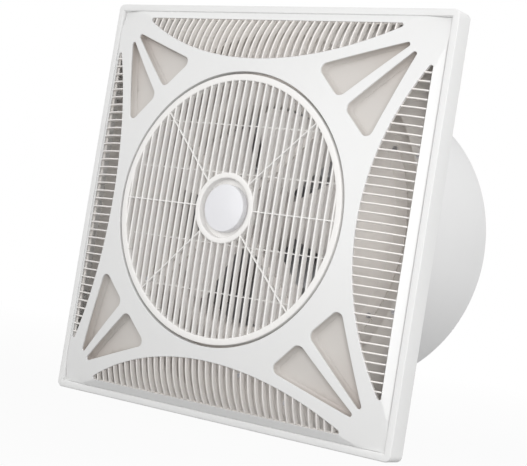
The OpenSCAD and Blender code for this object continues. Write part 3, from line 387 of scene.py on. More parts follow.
def finishes(scene):
    """Every finish of the fan by name."""
    c = scene.fan_finish
    skin, metal = moulded_skin(), worked_metal()
    return {
        "panel": material("panel_plastic", skin, c.panel, 0.15, 0.25, roughness=0.36),
        "louver": material("louver_plastic", skin, c.louver, 0.1, 0.3, roughness=0.38),
        "grille": material("grille_plastic", skin, c.grille, 0.05, 0.3, roughness=0.42),
        # Pockets: darker than the panel and darker still towards their tips, both painted shade of
        # the recess, with extra painted nook shade
        "tray": shade_outwards(material("tray_plastic", skin, c.tray, roughness=0.55,
                                        soiling=0.12),
                                c.tray_tip, TIP_SHADE_FROM, TIP_SHADE_TO),
        "cap": material("cap_plastic", skin, c.cap, 0.3, 0.15, roughness=0.3),
        # The inner and blade finishes carry painted warm bounce light in their colour
        "inner": material("inner_plastic", skin, c.inner, roughness=0.55),
        "blade": material("blade_plastic", skin, c.blade, 0.05, 0.3, roughness=0.45),
        "sheet": material("painted_sheet", skin, c.sheet, 0.2, 0.2, roughness=0.34,
                          grain_scale=420.0, grain_height=0.05),
        # The lining is a lighter, warmer copy of the painted sheet: painted bounce light, with
        # extra painted nook shade
        "lining": material("painted_lining", skin, c.lining, roughness=0.5, soiling=0.1,
                           grain_scale=420.0, grain_height=0.05),
        "zinc": material("zinc_sheet", metal, c.zinc, metallic=0.9, roughness=0.42,
                         blotch=0.16, blotch_scale=45.0),
        "screw": material("plated_screw", metal, c.screw, metallic=1.0, roughness=0.3,
                          blotch=0.06, blotch_scale=300.0),
        "steel": material("ground_steel", metal, c.steel, metallic=1.0, roughness=0.26),
        "alloy": material("cast_alloy", metal, c.alloy, metallic=0.7, roughness=0.55,
                          blotch=0.10, blotch_scale=500.0, height=0.3),
        "core": material("motor_core", metal, c.core, metallic=0.6, roughness=0.6),
        "brass": material("turned_brass", metal, c.brass, metallic=1.0, roughness=0.28),
        "copper": material("copper_wire", metal, c.copper, metallic=0.8, roughness=0.35,
                           streak=0.5, streak_scale=(2000.0, 2000.0, 2000.0)),
        "rubber": material("mount_rubber", skin, c.rubber, roughness=0.7, grain_height=0.1),
        "black": material("gland_plastic", skin, c.black, roughness=0.45),
        "box": material("box_plastic", skin, c.box, roughness=0.5, grain_height=0.12,
                        grain_scale=700.0),
        "can": material("capacitor_plastic", skin, c.can, 0.2, 0.2, roughness=0.35),
    }


# Mesh helpers


SAME_POINT = 1e-6       # points nearer than this are merged
NO_LENGTH = 1e-7        # edges shorter than this are dissolved
SLIVER = 2e-9           # triangles with less cross product than this are left out
NEARLY_STRAIGHT = 89    # half a corner's angle, in degrees, past which it isn't rounded
SHARP_FROM = 35         # edges with a larger angle, in degrees, are shaded sharp
LARGE_ROUND = 256       # steps round a large turned piece
SMALL_ROUND = 128       # steps round a small one


def unit(v):
    return Vector(v).normalized()


def arc(centre, r, start, turn, steps):
    """Points of an arc from the angle start over the angle turn."""
    return [(centre[0] + r * math.cos(start + turn * i / steps),
             centre[1] + r * math.sin(start + turn * i / steps)) for i in range(steps + 1)]


def rounded_path(points, radii, steps):
    """Closed outline with rounded corners, of one radius or of one for each corner."""
    path = []
    for i, p in enumerate(points):
        r = radii[i] if isinstance(radii, (list, tuple)) else radii
        p, a, b = Vector(p), Vector(points[i - 1]), Vector(points[(i + 1) % len(points)])
        to_a, to_b = unit(a - p), unit(b - p)
        half = math.acos(max(-1, min(1, to_a.dot(to_b)))) / 2
        if r <= 0 or half > math.radians(NEARLY_STRAIGHT):
            path.append(tuple(p))
            continue
        mid = p + unit(to_a + to_b) * r / math.sin(half)
        first = p + to_a * r / math.tan(half) - mid
        last = p + to_b * r / math.tan(half) - mid
        start = math.atan2(first.y, first.x)
        turn = (math.atan2(last.y, last.x) - start + math.pi) % (2 * math.pi) - math.pi
        path += arc(mid, r, start, turn, steps)
    return path


def section(corners, steps):
    """Closed outline through (across, height, corner radius) points."""
    return rounded_path([c[:2] for c in corners], [c[2] for c in corners], steps)


def new_piece(name, verts, faces, finish, smooth=SHARP_FROM, fix=True):
    """A mesh object from points and faces in drawing axes, with its place in its mesh.

    Closed shapes have their faces turned outwards; fix is off for an open sheet.
    """
    mesh = bpy.data.meshes.new(name)
    mesh.from_pydata([tuple(v) for v in verts], [], faces)
    bm = bmesh.new()
    bm.from_mesh(mesh)
    bmesh.ops.remove_doubles(bm, verts=bm.verts, dist=SAME_POINT)
    bmesh.ops.dissolve_degenerate(bm, edges=bm.edges, dist=NO_LENGTH)
    if fix:
        bmesh.ops.recalc_face_normals(bm, faces=bm.faces)
        if bm.calc_volume(signed=True) < 0:
            bmesh.ops.reverse_faces(bm, faces=bm.faces)
    bm.to_mesh(mesh)
    bm.free()
    mesh.transform(PLACE)
    piece = bpy.data.objects.new(name, mesh)
    bpy.context.scene.collection.objects.link(piece)
    mesh.materials.append(finish)
    mesh.shade_smooth()
    mesh.set_sharp_from_angle(angle=math.radians(smooth))
    return piece


def dress(piece, body, slot, *nodes):
    """Rides the piece on its body and lets it stand for its CAD nodes, which it hides; the slot is
    not used.
    """
    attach(piece, body)
    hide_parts(*nodes)


def joined_rings(rings, closed=True):
    """Faces between rings of points and, where closed, from the last ring to the first."""
    count, around = len(rings), len(rings[0])
    verts = [v for ring in rings for v in ring]
    faces = []
    for i in range(count if closed else count - 1):
        for k in range(around):
            j, m = (i + 1) % count, (k + 1) % around
            faces.append((i * around + k, i * around + m, j * around + m, j * around + k))
    return verts, faces


def lathe(profile, steps):
    """Turns a closed half section of (radius, height) points round the axis."""
    rings = []
    for k in range(steps):
        a = 2 * math.pi * k / steps
        rings.append([(r * math.cos(a), r * math.sin(a), z) for r, z in profile])
    return joined_rings(rings)


def square_ring(profile, half, corner_r):
    """Sweeps a closed section of (inset, height) points round a rounded square."""
    least_r, steps = 0.0004, 8
    rings = []
    for inset, z in profile:
        side = half - inset
        r = max(corner_r - inset, least_r)
        ring = []
        for q in range(4):
            a = q * math.pi / 2
            cx, cy = (side - r) * (1, -1, -1, 1)[q], (side - r) * (1, 1, -1, -1)[q]
            ring += [(x, y, z) for x, y in arc((cx, cy), r, a, math.pi / 2, steps)]
        rings.append(ring)
    return joined_rings(rings)


def fill_outline(outline, holes, step, lines=()):
    """Even triangles between an outline and its holes: (points, triangles)."""
    points, edges = [], []
    # A row's height, and how far new points keep off the borders, as shares of the step
    row_share, keep_off = 0.866, 0.5

    def chain(path, closed):
        start = len(points)
        points.extend(Vector(p[:2]) for p in path)
        edges.extend((start + i, start + i + 1) for i in range(len(path) - 1))
        if closed:
            edges.append((len(points) - 1, start))

    chain(outline, True)
    for hole in holes:
        chain(hole, True)
    for line in lines:
        chain(line, False)
    near = KDTree(len(points))
    for i, p in enumerate(points):
        near.insert((p.x, p.y, 0), i)
    near.balance()
    xs, ys = [p.x for p in points], [p.y for p in points]
    row = 0
    y = min(ys)
    while y < max(ys):
        x = min(xs) + (row % 2) * step / 2
        while x < max(xs):
            if near.find((x, y, 0))[2] > step * keep_off:
                points.append(Vector((x, y)))
            x += step
        y += step * row_share
        row += 1
    out, _, faces, *_ = delaunay_2d_cdt(points, edges, [], 0, NO_LENGTH)

    def inside(p, path):
        hit = False
        for i in range(len(path)):
            (ax, ay), (bx, by) = path[i - 1][:2], path[i][:2]
            if (ay > p.y) != (by > p.y) and p.x < (bx - ax) * (p.y - ay) / (by - ay) + ax:
                hit = not hit
        return hit

    kept = []
    for f in faces:
        if abs((out[f[1]] - out[f[0]]).cross(out[f[2]] - out[f[0]])) < SLIVER:
            continue
        mid = sum((out[i] for i in f), Vector((0, 0))) / 3
        if inside(mid, outline) and not any(inside(mid, h) for h in holes):
            kept.append(tuple(f))
    used = sorted({i for f in kept for i in f})
    fresh = {old: new for new, old in enumerate(used)}
    return [out[i] for i in used], [tuple(fresh[i] for i in f) for f in kept]


def even_steps(path, step):
    """The same closed outline with no stretch longer than step."""
    out = []
    for i, p in enumerate(path):
        a, b = Vector(p[:2]), Vector(path[(i + 1) % len(path)][:2])
        n = max(1, math.ceil((b - a).length / step))
        out += [tuple(a.lerp(b, k / n)) for k in range(n)]
    return out


def grown_path(path, by):
    """Closed path with every point moved outwards by a small distance."""
    # Keeps a very sharp corner from running far out
    least_lean = 0.35
    area = sum(path[i - 1][0] * path[i][1] - path[i][0] * path[i - 1][1]
               for i in range(len(path)))
    sign = 1 if area > 0 else -1
    out = []
    for i, p in enumerate(path):
        a, b = path[i - 1], path[(i + 1) % len(path)]
        u, v = unit((p[0] - a[0], p[1] - a[1])), unit((b[0] - p[0], b[1] - p[1]))
        n = Vector((u.y + v.y, -u.x - v.x)).normalized() * sign
        reach = by / max(least_lean, n.dot(Vector((u.y, -u.x)) * sign))
        out.append((p[0] + n.x * reach, p[1] + n.y * reach))
    return out


def turned(path, quarter):
    """A path turned by quarter turns about the axis."""
    for _ in range(quarter):
        path = [(-p[1], p[0], *p[2:]) for p in path]
    return path


def even_shading(piece, weight, keep_sharp):
    """Weighted normals, so that large faces look flat beside their rounded edges."""
    even = piece.modifiers.new("even shading", "WEIGHTED_NORMAL")
    even.keep_sharp = keep_sharp
    even.weight = weight


def round_edges(piece, width):
    """Bevel and weighted normals for a moulded or folded piece."""
    bevel = piece.modifiers.new("rounded edges", "BEVEL")
    bevel.width = width
    bevel.segments = 2
    bevel.limit_method = "ANGLE"
    bevel.angle_limit = math.radians(SHARP_FROM)
    bevel.use_clamp_overlap = True
    bevel.miter_outer = "MITER_ARC"
    even_shading(piece, weight=80, keep_sharp=False)


def thick(piece, wall):
    """Gives a sheet its wall, inwards."""
    mod = piece.modifiers.new("wall", "SOLIDIFY")
    mod.thickness = wall
    mod.offset = -1.0
    mod.use_even_offset = True


def outwards(piece):
    """Makes the faces of an open sheet agree, with the largest part facing out of the front."""
    bm = bmesh.new()
    bm.from_mesh(piece.data)
    bmesh.ops.recalc_face_normals(bm, faces=bm.faces)
    lean = sum(-f.normal.y * f.calc_area() for f in bm.faces)
    if lean < 0:
        bmesh.ops.reverse_faces(bm, faces=bm.faces)
    bm.to_mesh(piece.data)
    bm.free()


def settled(piece):
    """The piece with its modifiers worked into a plain mesh."""
    dg = bpy.context.evaluated_depsgraph_get()
    mesh = bpy.data.meshes.new_from_object(piece.evaluated_get(dg))
    piece.modifiers.clear()
    old = piece.data
    piece.data = mesh
    bpy.data.meshes.remove(old)
    mesh.name = piece.name
    return piece


def merged(name, pieces):
    """Joins finished meshes into one piece."""
    bm = bmesh.new()
    finish = pieces[0].data.materials[0]
    for p in pieces:
        bm.from_mesh(p.data)
        old = p.data
        bpy.data.objects.remove(p)
        bpy.data.meshes.remove(old)
    mesh = bpy.data.meshes.new(name)
    bm.to_mesh(mesh)
    bm.free()
    mesh.materials.append(finish)
    piece = bpy.data.objects.new(name, mesh)
    bpy.context.scene.collection.objects.link(piece)
    mesh.shade_smooth()
    mesh.set_sharp_from_angle(angle=math.radians(SHARP_FROM))
    return piece


# Shared geometry


class Front:
    """Heights and outlines of the domed panel, from the sizes in the sidebar."""

    # Corners of the window below the diagonal, inwards from the inlets' straight sides
    WINDOW = [(0.0669, 0.1657), (0.1103, 0.1222), (0.0215, 0.0284)]
    WINDOW_RADII = [0.009, 0.011, 0.0034]
    # The crease starts this far before the inlet's tip and keeps this far off every border,
    # and it is searched for in these steps, along it and across it
    CREASE_LEAD, CREASE_CLEAR = 0.006, 0.003
    CREASE_STEP, CREASE_SEARCH = 0.004, 0.0001
    TIP_STEPS, ARC_STEPS, WINDOW_STEPS = 8, 90, 10

    def __init__(self, scene):
        p, s = scene.fan_panel, scene.fan_inlet
        self.p, self.s = p, s
        self.half = reach_x("outer_frame")
        self.rim_z = front_z("outer_frame")
        self.face_half = self.half - p.rim_width - p.rim_groove
        self.side = self.face_half - p.band_w
        self.apex = self.side - s.width
        self.dome_c = self.rim_z + p.dome_rise - p.dome_r
        self.arc_r = (s.width ** 2 + s.half_l ** 2) / (2 * s.width)
        self.arc_x = self.apex + self.arc_r

    def dome(self, r):
        return self.dome_c + math.sqrt(self.p.dome_r ** 2 - r * r)

    def band(self, x):
        return self.rim_z + (self.face_half - abs(x)) * math.tan(self.p.band_slope)

    def height(self, x, y):
        """Lowest of dome and bands, with their meeting line rounded."""
        def soft_min(a, b):
            blend = max(self.p.crease_r - abs(a - b), 0) / self.p.crease_r
            return min(a, b) - blend * blend * self.p.crease_r / 4
        side = soft_min(self.band(x), self.band(y))
        return soft_min(self.dome(math.hypot(x, y)), side)

    def inlet_outline(self, grow=0.0, step=0.004):
        """Right side inlet: the arc on the louver's side, two tips and a straight side."""
        side, tip = self.side + grow, self.s.tip_r + grow
        r = self.arc_r + grow
        tip_x = side - tip
        tip_y = math.sqrt((r - tip) ** 2 - (self.arc_x - tip_x) ** 2)
        lean = math.atan2(tip_y, tip_x - self.arc_x)
        low = arc((tip_x, -tip_y), tip, -lean, lean, self.TIP_STEPS)
        high = arc((tip_x, tip_y), tip, 0.0, lean, self.TIP_STEPS)
        back = arc((self.arc_x, 0), r, lean, 2 * (math.pi - lean), self.ARC_STEPS)
        return even_steps(low + high + back[1:-1], step)

    def window_outline(self, grow, swapped):
        """Corner window below the diagonal or, swapped, above it."""
        corners = [(self.side - x, self.side - y) for x, y in self.WINDOW]
        moved = []
        for i, p in enumerate(corners):
            p, a, b = Vector(p), Vector(corners[i - 1]), Vector(corners[(i + 1) % 3])
            half = math.acos(unit(a - p).dot(unit(b - p))) / 2
            moved.append(p - unit(unit(a - p) + unit(b - p)) * grow / math.sin(half))
        if swapped:
            moved = [Vector((q.y, q.x)) for q in moved]
        return rounded_path(moved, [r + grow for r in self.WINDOW_RADII],
                            self.WINDOW_STEPS)

    def crease(self):
        """Line where the dome meets the right sloping band, above the inlet's tip."""
        line, clear = [], self.CREASE_CLEAR
        y = self.s.half_l - self.CREASE_LEAD
        while y < self.face_half:
            x = self.side
            while x < self.face_half and self.band(x) > self.dome(math.hypot(x, y)):
                x += self.CREASE_SEARCH
            if x > self.face_half - clear:
                break
            if x > self.side + clear or y > self.s.half_l + clear:
                line.append((x, y))
            y += self.CREASE_STEP
        return line


# Geometry nodes


BARS_SHARP_FROM = 40    # as SHARP_FROM, for bars and slats, whose round edges have few steps


def shape_tree(name, inputs):
    """A new geometry node tree with named inputs and one geometry output."""
    tree = bpy.data.node_groups.new(name, "GeometryNodeTree")
    tree.interface.new_socket("Geometry", in_out="INPUT", socket_type="NodeSocketGeometry")
    for label, kind in inputs:
        tree.interface.new_socket(label, in_out="INPUT", socket_type=kind)
    tree.interface.new_socket("Geometry", in_out="OUTPUT", socket_type="NodeSocketGeometry")
    return tree


def end_tree(n, shape, finish):
    """Ends a tree with a real mesh in its finish."""
    shape = n.add("GeometryNodeRealizeInstances", {"Geometry": shape}).outputs[0]
    shape = n.add("GeometryNodeSetMaterial", {"Geometry": shape, "Material": finish}).outputs[0]
    n.add("NodeGroupOutput", {"Geometry": shape})


def bar_sweep(n, lines, thickness, depth, rounding, finish):
    """Sweeps a rounded bar along every line and ends the tree."""
    upright = n.add("GeometryNodeSetCurveNormal", {"Curve": lines}, mode="Z_UP").outputs[0]
    profile = n.add("GeometryNodeCurvePrimitiveQuadrilateral",
                    {"Width": thickness, "Height": depth}).outputs[0]
    profile = n.add("GeometryNodeFilletCurve",
                    {"Curve": profile, "Count": 4, "Radius": rounding, "Limit Radius": True},
                    mode="POLY").outputs[0]
    bars = n.add("GeometryNodeCurveToMesh",
                 {"Curve": upright, "Profile Curve": profile, "Fill Caps": True}).outputs[0]
    end_tree(n, bars, finish)


def lines_on_points(n, points, samples):
    """One straight line of samples, from 0 to 1 along Y, on every point."""
    line = n.add("GeometryNodeCurvePrimitiveLine", {"Start": (0, 0, 0), "End": (0, 1, 0)})
    line = n.add("GeometryNodeResampleCurve",
                 {"Curve": line.outputs[0], "Count": samples}).outputs[0]
    placed = n.add("GeometryNodeInstanceOnPoints", {"Points": points, "Instance": line})
    return n.add("GeometryNodeRealizeInstances", {"Geometry": placed.outputs[0]}).outputs[0]


@made_once
def louver_bars(name):
    """Parallel bars inside the louver's ring, cut out round the hub and following the crown."""
    num = "NodeSocketFloat"
    tree = shape_tree(name, [
        ("Count", "NodeSocketInt"), ("First", num), ("Pitch", num), ("Turn", num),
        ("Ring radius", num), ("Hub radius", num), ("Crown centre", num), ("Crown radius", num),
        ("Drop", num), ("Thickness", num), ("Depth", num), ("Rounding", num),
        ("Samples", "NodeSocketInt"), ("Finish", "NodeSocketMaterial")])
    n = Nodes(tree)
    g = n.add("NodeGroupInput").outputs
    row = n.add("GeometryNodeMeshLine", {"Count": g["Count"],
                                         "Start Location": n.join(g["First"], 0.0, 0.0),
                                         "Offset": n.join(g["Pitch"], 0.0, 0.0)}).outputs[0]
    halves = n.add("GeometryNodeJoinGeometry")
    for side in (1.0, -1.0):
        lines = lines_on_points(n, row, g["Samples"])
        at = n.place()
        x2 = n.square(at["X"])
        inner = n.root(n.math("SUBTRACT", n.square(g["Hub radius"]), x2))
        outer = n.root(n.math("SUBTRACT", n.square(g["Ring radius"]), x2))
        y = n.math("ADD", inner, n.math("MULTIPLY", at["Y"], n.math("SUBTRACT", outer, inner)))
        rise = n.root(n.math("SUBTRACT", n.square(g["Crown radius"]),
                             n.math("ADD", x2, n.square(y))))
        z = n.math("SUBTRACT", n.math("ADD", g["Crown centre"], rise),
                   n.math("ADD", g["Drop"], n.math("MULTIPLY", g["Depth"], 0.5)))
        moved = n.add("GeometryNodeSetPosition",
                      {"Geometry": lines, "Position": n.join(at["X"], n.math("MULTIPLY", y, side),
                                                             z)}).outputs[0]
        tree.links.new(moved, halves.inputs[0])
    spun = n.add("GeometryNodeTransform", {"Geometry": halves.outputs[0],
                                           "Rotation": n.join(0.0, 0.0, g["Turn"])}).outputs[0]
    bar_sweep(n, spun, g["Thickness"], g["Depth"], g["Rounding"], g["Finish"])


@made_once
def inlet_slats(name):
    """Bowed slats across a side inlet, from the arc beside the louver to the sloping band."""
    num = "NodeSocketFloat"
    tree = shape_tree(name, [
        ("Count", "NodeSocketInt"), ("Pitch", num), ("Turn", num), ("Arc radius", num),
        ("Arc centre", num), ("Side", num), ("Band height", num), ("Dome centre", num),
        ("Dome radius", num), ("Bow radius", num), ("Drop", num), ("Thickness", num),
        ("Depth", num), ("Rounding", num), ("Inner reach", num), ("Outer reach", num),
        ("Samples", "NodeSocketInt"), ("Finish", "NodeSocketMaterial")])
    n = Nodes(tree)
    g = n.add("NodeGroupInput").outputs
    last = n.math("SUBTRACT", g["Count"], 1.0)
    first = n.math("MULTIPLY", n.math("MULTIPLY", last, -0.5), g["Pitch"])
    row = n.add("GeometryNodeMeshLine", {"Count": g["Count"],
                                         "Start Location": n.join(first, 0.0, 0.0),
                                         "Offset": n.join(g["Pitch"], 0.0, 0.0)}).outputs[0]
    lines = lines_on_points(n, row, g["Samples"])
    at = n.place()
    y, t = at["X"], at["Y"]
    y2 = n.square(y)

    def dome(x):
        flat = n.math("ADD", n.square(x), y2)
        return n.math("ADD", g["Dome centre"],
                      n.root(n.math("SUBTRACT", n.square(g["Dome radius"]), flat)))

    ax = n.math("SUBTRACT", g["Arc centre"],
                n.root(n.math("SUBTRACT", n.square(g["Arc radius"]), y2)))
    az = dome(ax)
    bx = g["Side"]
    bz = n.math("MINIMUM", g["Band height"], dome(bx))
    dx, dz = n.math("SUBTRACT", bx, ax), n.math("SUBTRACT", bz, az)
    chord = n.root(n.math("ADD", n.square(dx), n.square(dz)))
    ux, uz = n.math("DIVIDE", dx, chord), n.math("DIVIDE", dz, chord)
    half = n.math("MULTIPLY", chord, 0.5)
    sag = n.root(n.math("SUBTRACT", n.square(g["Bow radius"]), n.square(half)))
    mx = n.math("ADD", n.math("MULTIPLY", n.math("ADD", ax, bx), 0.5), n.math("MULTIPLY", uz, sag))
    mz = n.math("SUBTRACT", n.math("MULTIPLY", n.math("ADD", az, bz), 0.5),
                n.math("MULTIPLY", ux, sag))
    swing = n.math("ARCSINE", n.math("DIVIDE", half, g["Bow radius"]))
    from_a = n.math("SUBTRACT", n.math("MULTIPLY", swing, -1.0),
                    n.math("DIVIDE", g["Inner reach"], g["Bow radius"]))
    to_b = n.math("ADD", swing, n.math("DIVIDE", g["Outer reach"], g["Bow radius"]))
    phi = n.math("ADD", from_a, n.math("MULTIPLY", t, n.math("SUBTRACT", to_b, from_a)))
    radius = n.math("SUBTRACT", g["Bow radius"],
                    n.math("ADD", g["Drop"], n.math("MULTIPLY", g["Depth"], 0.5)))
    along = n.math("MULTIPLY", radius, n.math("SINE", phi))
    out = n.math("MULTIPLY", radius, n.math("COSINE", phi))
    x = n.math("ADD", mx, n.math("SUBTRACT", n.math("MULTIPLY", along, ux),
                                 n.math("MULTIPLY", out, uz)))
    z = n.math("ADD", mz, n.math("ADD", n.math("MULTIPLY", along, uz),
                                 n.math("MULTIPLY", out, ux)))
    moved = n.add("GeometryNodeSetPosition", {"Geometry": lines,
                                              "Position": n.join(x, y, z)}).outputs[0]
    spun = n.add("GeometryNodeTransform", {"Geometry": moved,
                                           "Rotation": n.join(0.0, 0.0, g["Turn"])}).outputs[0]
    bar_sweep(n, spun, g["Thickness"], g["Depth"], g["Rounding"], g["Finish"])


@made_once
def outlet_slats(name):
    """Sloping slats across the drum's open end, cut to the guard's ring."""
    num = "NodeSocketFloat"
    tree = shape_tree(name, [
        ("Count", "NodeSocketInt"), ("Pitch", num), ("Width", num), ("Thickness", num),
        ("Tilt", num), ("Reach", num), ("Height", num), ("Finish", "NodeSocketMaterial")])
    n = Nodes(tree)
    g = n.add("NodeGroupInput").outputs
    last = n.math("SUBTRACT", g["Count"], 1.0)
    first = n.math("MULTIPLY", n.math("MULTIPLY", last, -0.5), g["Pitch"])
    spots = n.add("GeometryNodeMeshLine",
                  {"Count": g["Count"], "Start Location": n.join(0.0, first, g["Height"]),
                   "Offset": n.join(0.0, g["Pitch"], 0.0)}).outputs[0]
    sheet = n.add("GeometryNodeMeshCube", {"Size": n.join(2.0, g["Width"], g["Thickness"]),
                                           "Vertices X": 2, "Vertices Y": 25,
                                           "Vertices Z": 2}).outputs[0]
    slats = n.add("GeometryNodeInstanceOnPoints",
                  {"Points": spots, "Instance": sheet,
                   "Rotation": n.join(g["Tilt"], 0.0, 0.0)}).outputs[0]
    slats = n.add("GeometryNodeRealizeInstances", {"Geometry": slats}).outputs[0]
    at = n.place()
    half = n.root(n.math("SUBTRACT", n.square(g["Reach"]), n.square(at["Y"])))
    slats = n.add("GeometryNodeSetPosition",
                  {"Geometry": slats,
                   "Position": n.join(n.math("MULTIPLY", at["X"], half), at["Y"],
                                      at["Z"])}).outputs[0]
    end_tree(n, slats, g["Finish"])


def grown(name, tree, finish, **values):
    """Runs a geometry node tree once and keeps its result as a plain mesh."""
    piece = bpy.data.objects.new(name, bpy.data.meshes.new(name))
    bpy.context.scene.collection.objects.link(piece)
    mod = piece.modifiers.new("shape", "NODES")
    mod.node_group = tree
    sockets = {s.name: s for s in tree.interface.items_tree if s.in_out == "INPUT"}
    for key, value in {**values, "finish": finish}.items():
        mod[sockets[key.replace("_", " ").capitalize()].identifier] = value
    settled(piece)
    mesh = piece.data
    bm = bmesh.new()
    bm.from_mesh(mesh)
    bmesh.ops.recalc_face_normals(bm, faces=bm.faces)
    bm.to_mesh(mesh)
    bm.free()
    mesh.transform(PLACE)
    mesh.shade_smooth()
    mesh.set_sharp_from_angle(angle=math.radians(BARS_SHARP_FROM))
    return piece


# Operators


class FanPiece:
    """What the fan's operators share."""

    bl_options = {"REGISTER", "UNDO"}


class FAN_OT_outer_frame(FanPiece, bpy.types.Operator):
    """Square front frame: side wall, rounded rim, open groove and ledge"""

    bl_idname = "fan.outer_frame"
    bl_label = "Outer frame"

    WALL, LEDGE, FIT_GAP = 0.0025, 0.006, 0.0002
    FOOT_R, GROOVE_R, FLOOR_R = 0.0005, 0.0011, 0.0001
    LEDGE_R, UNDER_R, STEP_R = 0.0006, 0.0004, 0.0003

    def execute(self, context):
        f = Front(context.scene)
        p = f.p
        wall, low = self.WALL, f.rim_z - self.WALL
        ledge_z = f.rim_z - self.LEDGE
        floor_z = f.rim_z - p.groove_depth
        opening = p.rim_width
        inset = opening + (p.rim_groove - self.FIT_GAP)
        ledge = opening + self.LEDGE
        outline = section([
            (0, 0, self.FOOT_R), (0, f.rim_z, p.rim_bevel), (opening, f.rim_z, self.GROOVE_R),
            (opening, floor_z, 0), (inset, floor_z, self.FLOOR_R), (inset, ledge_z, 0),
            (ledge, ledge_z, self.LEDGE_R), (ledge, ledge_z - wall, self.UNDER_R),
            (opening - wall, ledge_z - wall, 0), (opening - wall, low, self.STEP_R),
            (wall, low, self.LEDGE_R), (wall, 0, self.FOOT_R)], steps=4)
        verts, faces = square_ring(outline, f.half, p.corner_r)
        piece = new_piece("outer_frame_shell", verts, faces, finishes(context.scene)["panel"])
        dress(piece, "housing", "white_plastic", "outer_frame")
        return {"FINISHED"}


class FAN_OT_face_panel(FanPiece, bpy.types.Operator):
    """Domed panel with its hole, side inlets, corner windows, skirt and collar"""

    bl_idname = "fan.face_panel"
    bl_label = "Domed panel"

    CORNER_R, SKIRT, CORNER_STEPS, HOLE_STEPS = 0.002, 0.0058, 6, 224
    BORDER_SHARE, CREASE_ASIDE = 0.8, 0.0012
    # Angles of a rounded edge, from the top of the panel down its side
    EDGE = [u / 4 * math.pi / 2 for u in range(1, 5)]

    def execute(self, context):
        f = Front(context.scene)
        p = f.p
        borders = self.borders(f)
        kept = [grown_path(path, side * p.edge_r) for path, side, *_ in borders]
        flat, front = fill_outline(kept[0], kept[1:], p.mesh_step, self.crease_lines(f))
        count = len(flat)
        verts = [(v.x, v.y, f.height(v.x, v.y)) for v in flat]
        verts += [[x, y, z - p.web_t] for x, y, z in verts]
        where = {(round(v.x, 6), round(v.y, 6)): i for i, v in enumerate(flat)}
        faces = front + [tuple(count + i for i in reversed(t)) for t in front]
        for border, top in zip(borders, kept):
            ring = [where[(round(x, 6), round(y, 6))] for x, y in top]
            self.close_edge(f, verts, faces, ring, [count + i for i in ring], border)
        piece = new_piece("face_panel_sheet", verts, faces, finishes(context.scene)["panel"],
                          smooth=40)
        even_shading(piece, weight=60, keep_sharp=True)
        dress(piece, "housing", "white_plastic", "face_panel")
        return {"FINISHED"}

    def borders(self, f):
        """The outer edge and every opening, each as (path, side, wall, low).

        The side is -1 for the outer edge and 1 for an opening. A wall of that thickness
        hangs down to low, and where it is 0 the edge has none.
        """
        p, r = f.p, self.CORNER_R
        fine = p.mesh_step * self.BORDER_SHARE
        rim = []
        for q in range(4):
            rim += turned(arc((f.face_half - r, f.face_half - r), r, 0, math.pi / 2,
                              self.CORNER_STEPS), q)
        hole = arc((0, 0), p.hole_r, 0, 2 * math.pi, self.HOLE_STEPS)[:-1]
        borders = [(even_steps(rim, p.mesh_step), -1, p.web_t, f.rim_z - self.SKIRT),
                   (hole, 1, p.web_t, f.dome(p.hole_r) - p.hole_collar)]
        for q in range(4):
            borders.append((turned(f.inlet_outline(0.0, fine), q), 1, 0, None))
            for swapped in (False, True):
                path = even_steps(f.window_outline(0.0, swapped), fine)
                borders.append((turned(path, q), 1, 0, None))
        return borders

    def crease_lines(self, f):
        """Lines that the mesh keeps along both sides of each crease and on it."""
        lines = []
        crease = f.crease()
        for q in range(4):
            for mirrored in (False, True):
                for aside in (-self.CREASE_ASIDE, 0, self.CREASE_ASIDE):
                    line = [(x + aside, -y if mirrored else y) for x, y in crease]
                    lines.append(turned(line, q))
        return lines

    def close_edge(self, f, verts, faces, ring, last, border):
        """Rounds the edge from ring, hangs its wall and joins it to last on the back."""
        p = f.p
        path, side, wall, low = border
        for a in self.EDGE:
            drop, aside = p.edge_r * (1 - math.cos(a)), p.edge_r * (1 - math.sin(a))
            moved = grown_path(path, side * aside)
            ring = self.strip(verts, faces, ring,
                              [(x, y, f.height(x, y) - drop) for x, y in moved])
        if wall:
            ring = self.strip(verts, faces, ring, [(x, y, low) for x, y in path])
            back = grown_path(path, side * wall)
            ring = self.strip(verts, faces, ring, [(x, y, low) for x, y in back])
            for i, (x, y) in zip(last, back):
                verts[i] = (x, y, verts[i][2])
        else:
            for i, (x, y) in zip(last, path):
                verts[i] = (x, y, f.height(x, y) - p.web_t)
        for i in range(len(ring)):
            j = (i + 1) % len(ring)
            faces.append((ring[i], ring[j], last[j], last[i]))

    def strip(self, verts, faces, ring, points):
        """Quads from a ring of points to the next one."""
        base = len(verts)
        verts.extend(points)
        fresh = list(range(base, base + len(points)))
        for i in range(len(ring)):
            j = (i + 1) % len(ring)
            faces.append((ring[i], ring[j], fresh[j], fresh[i]))
        return fresh


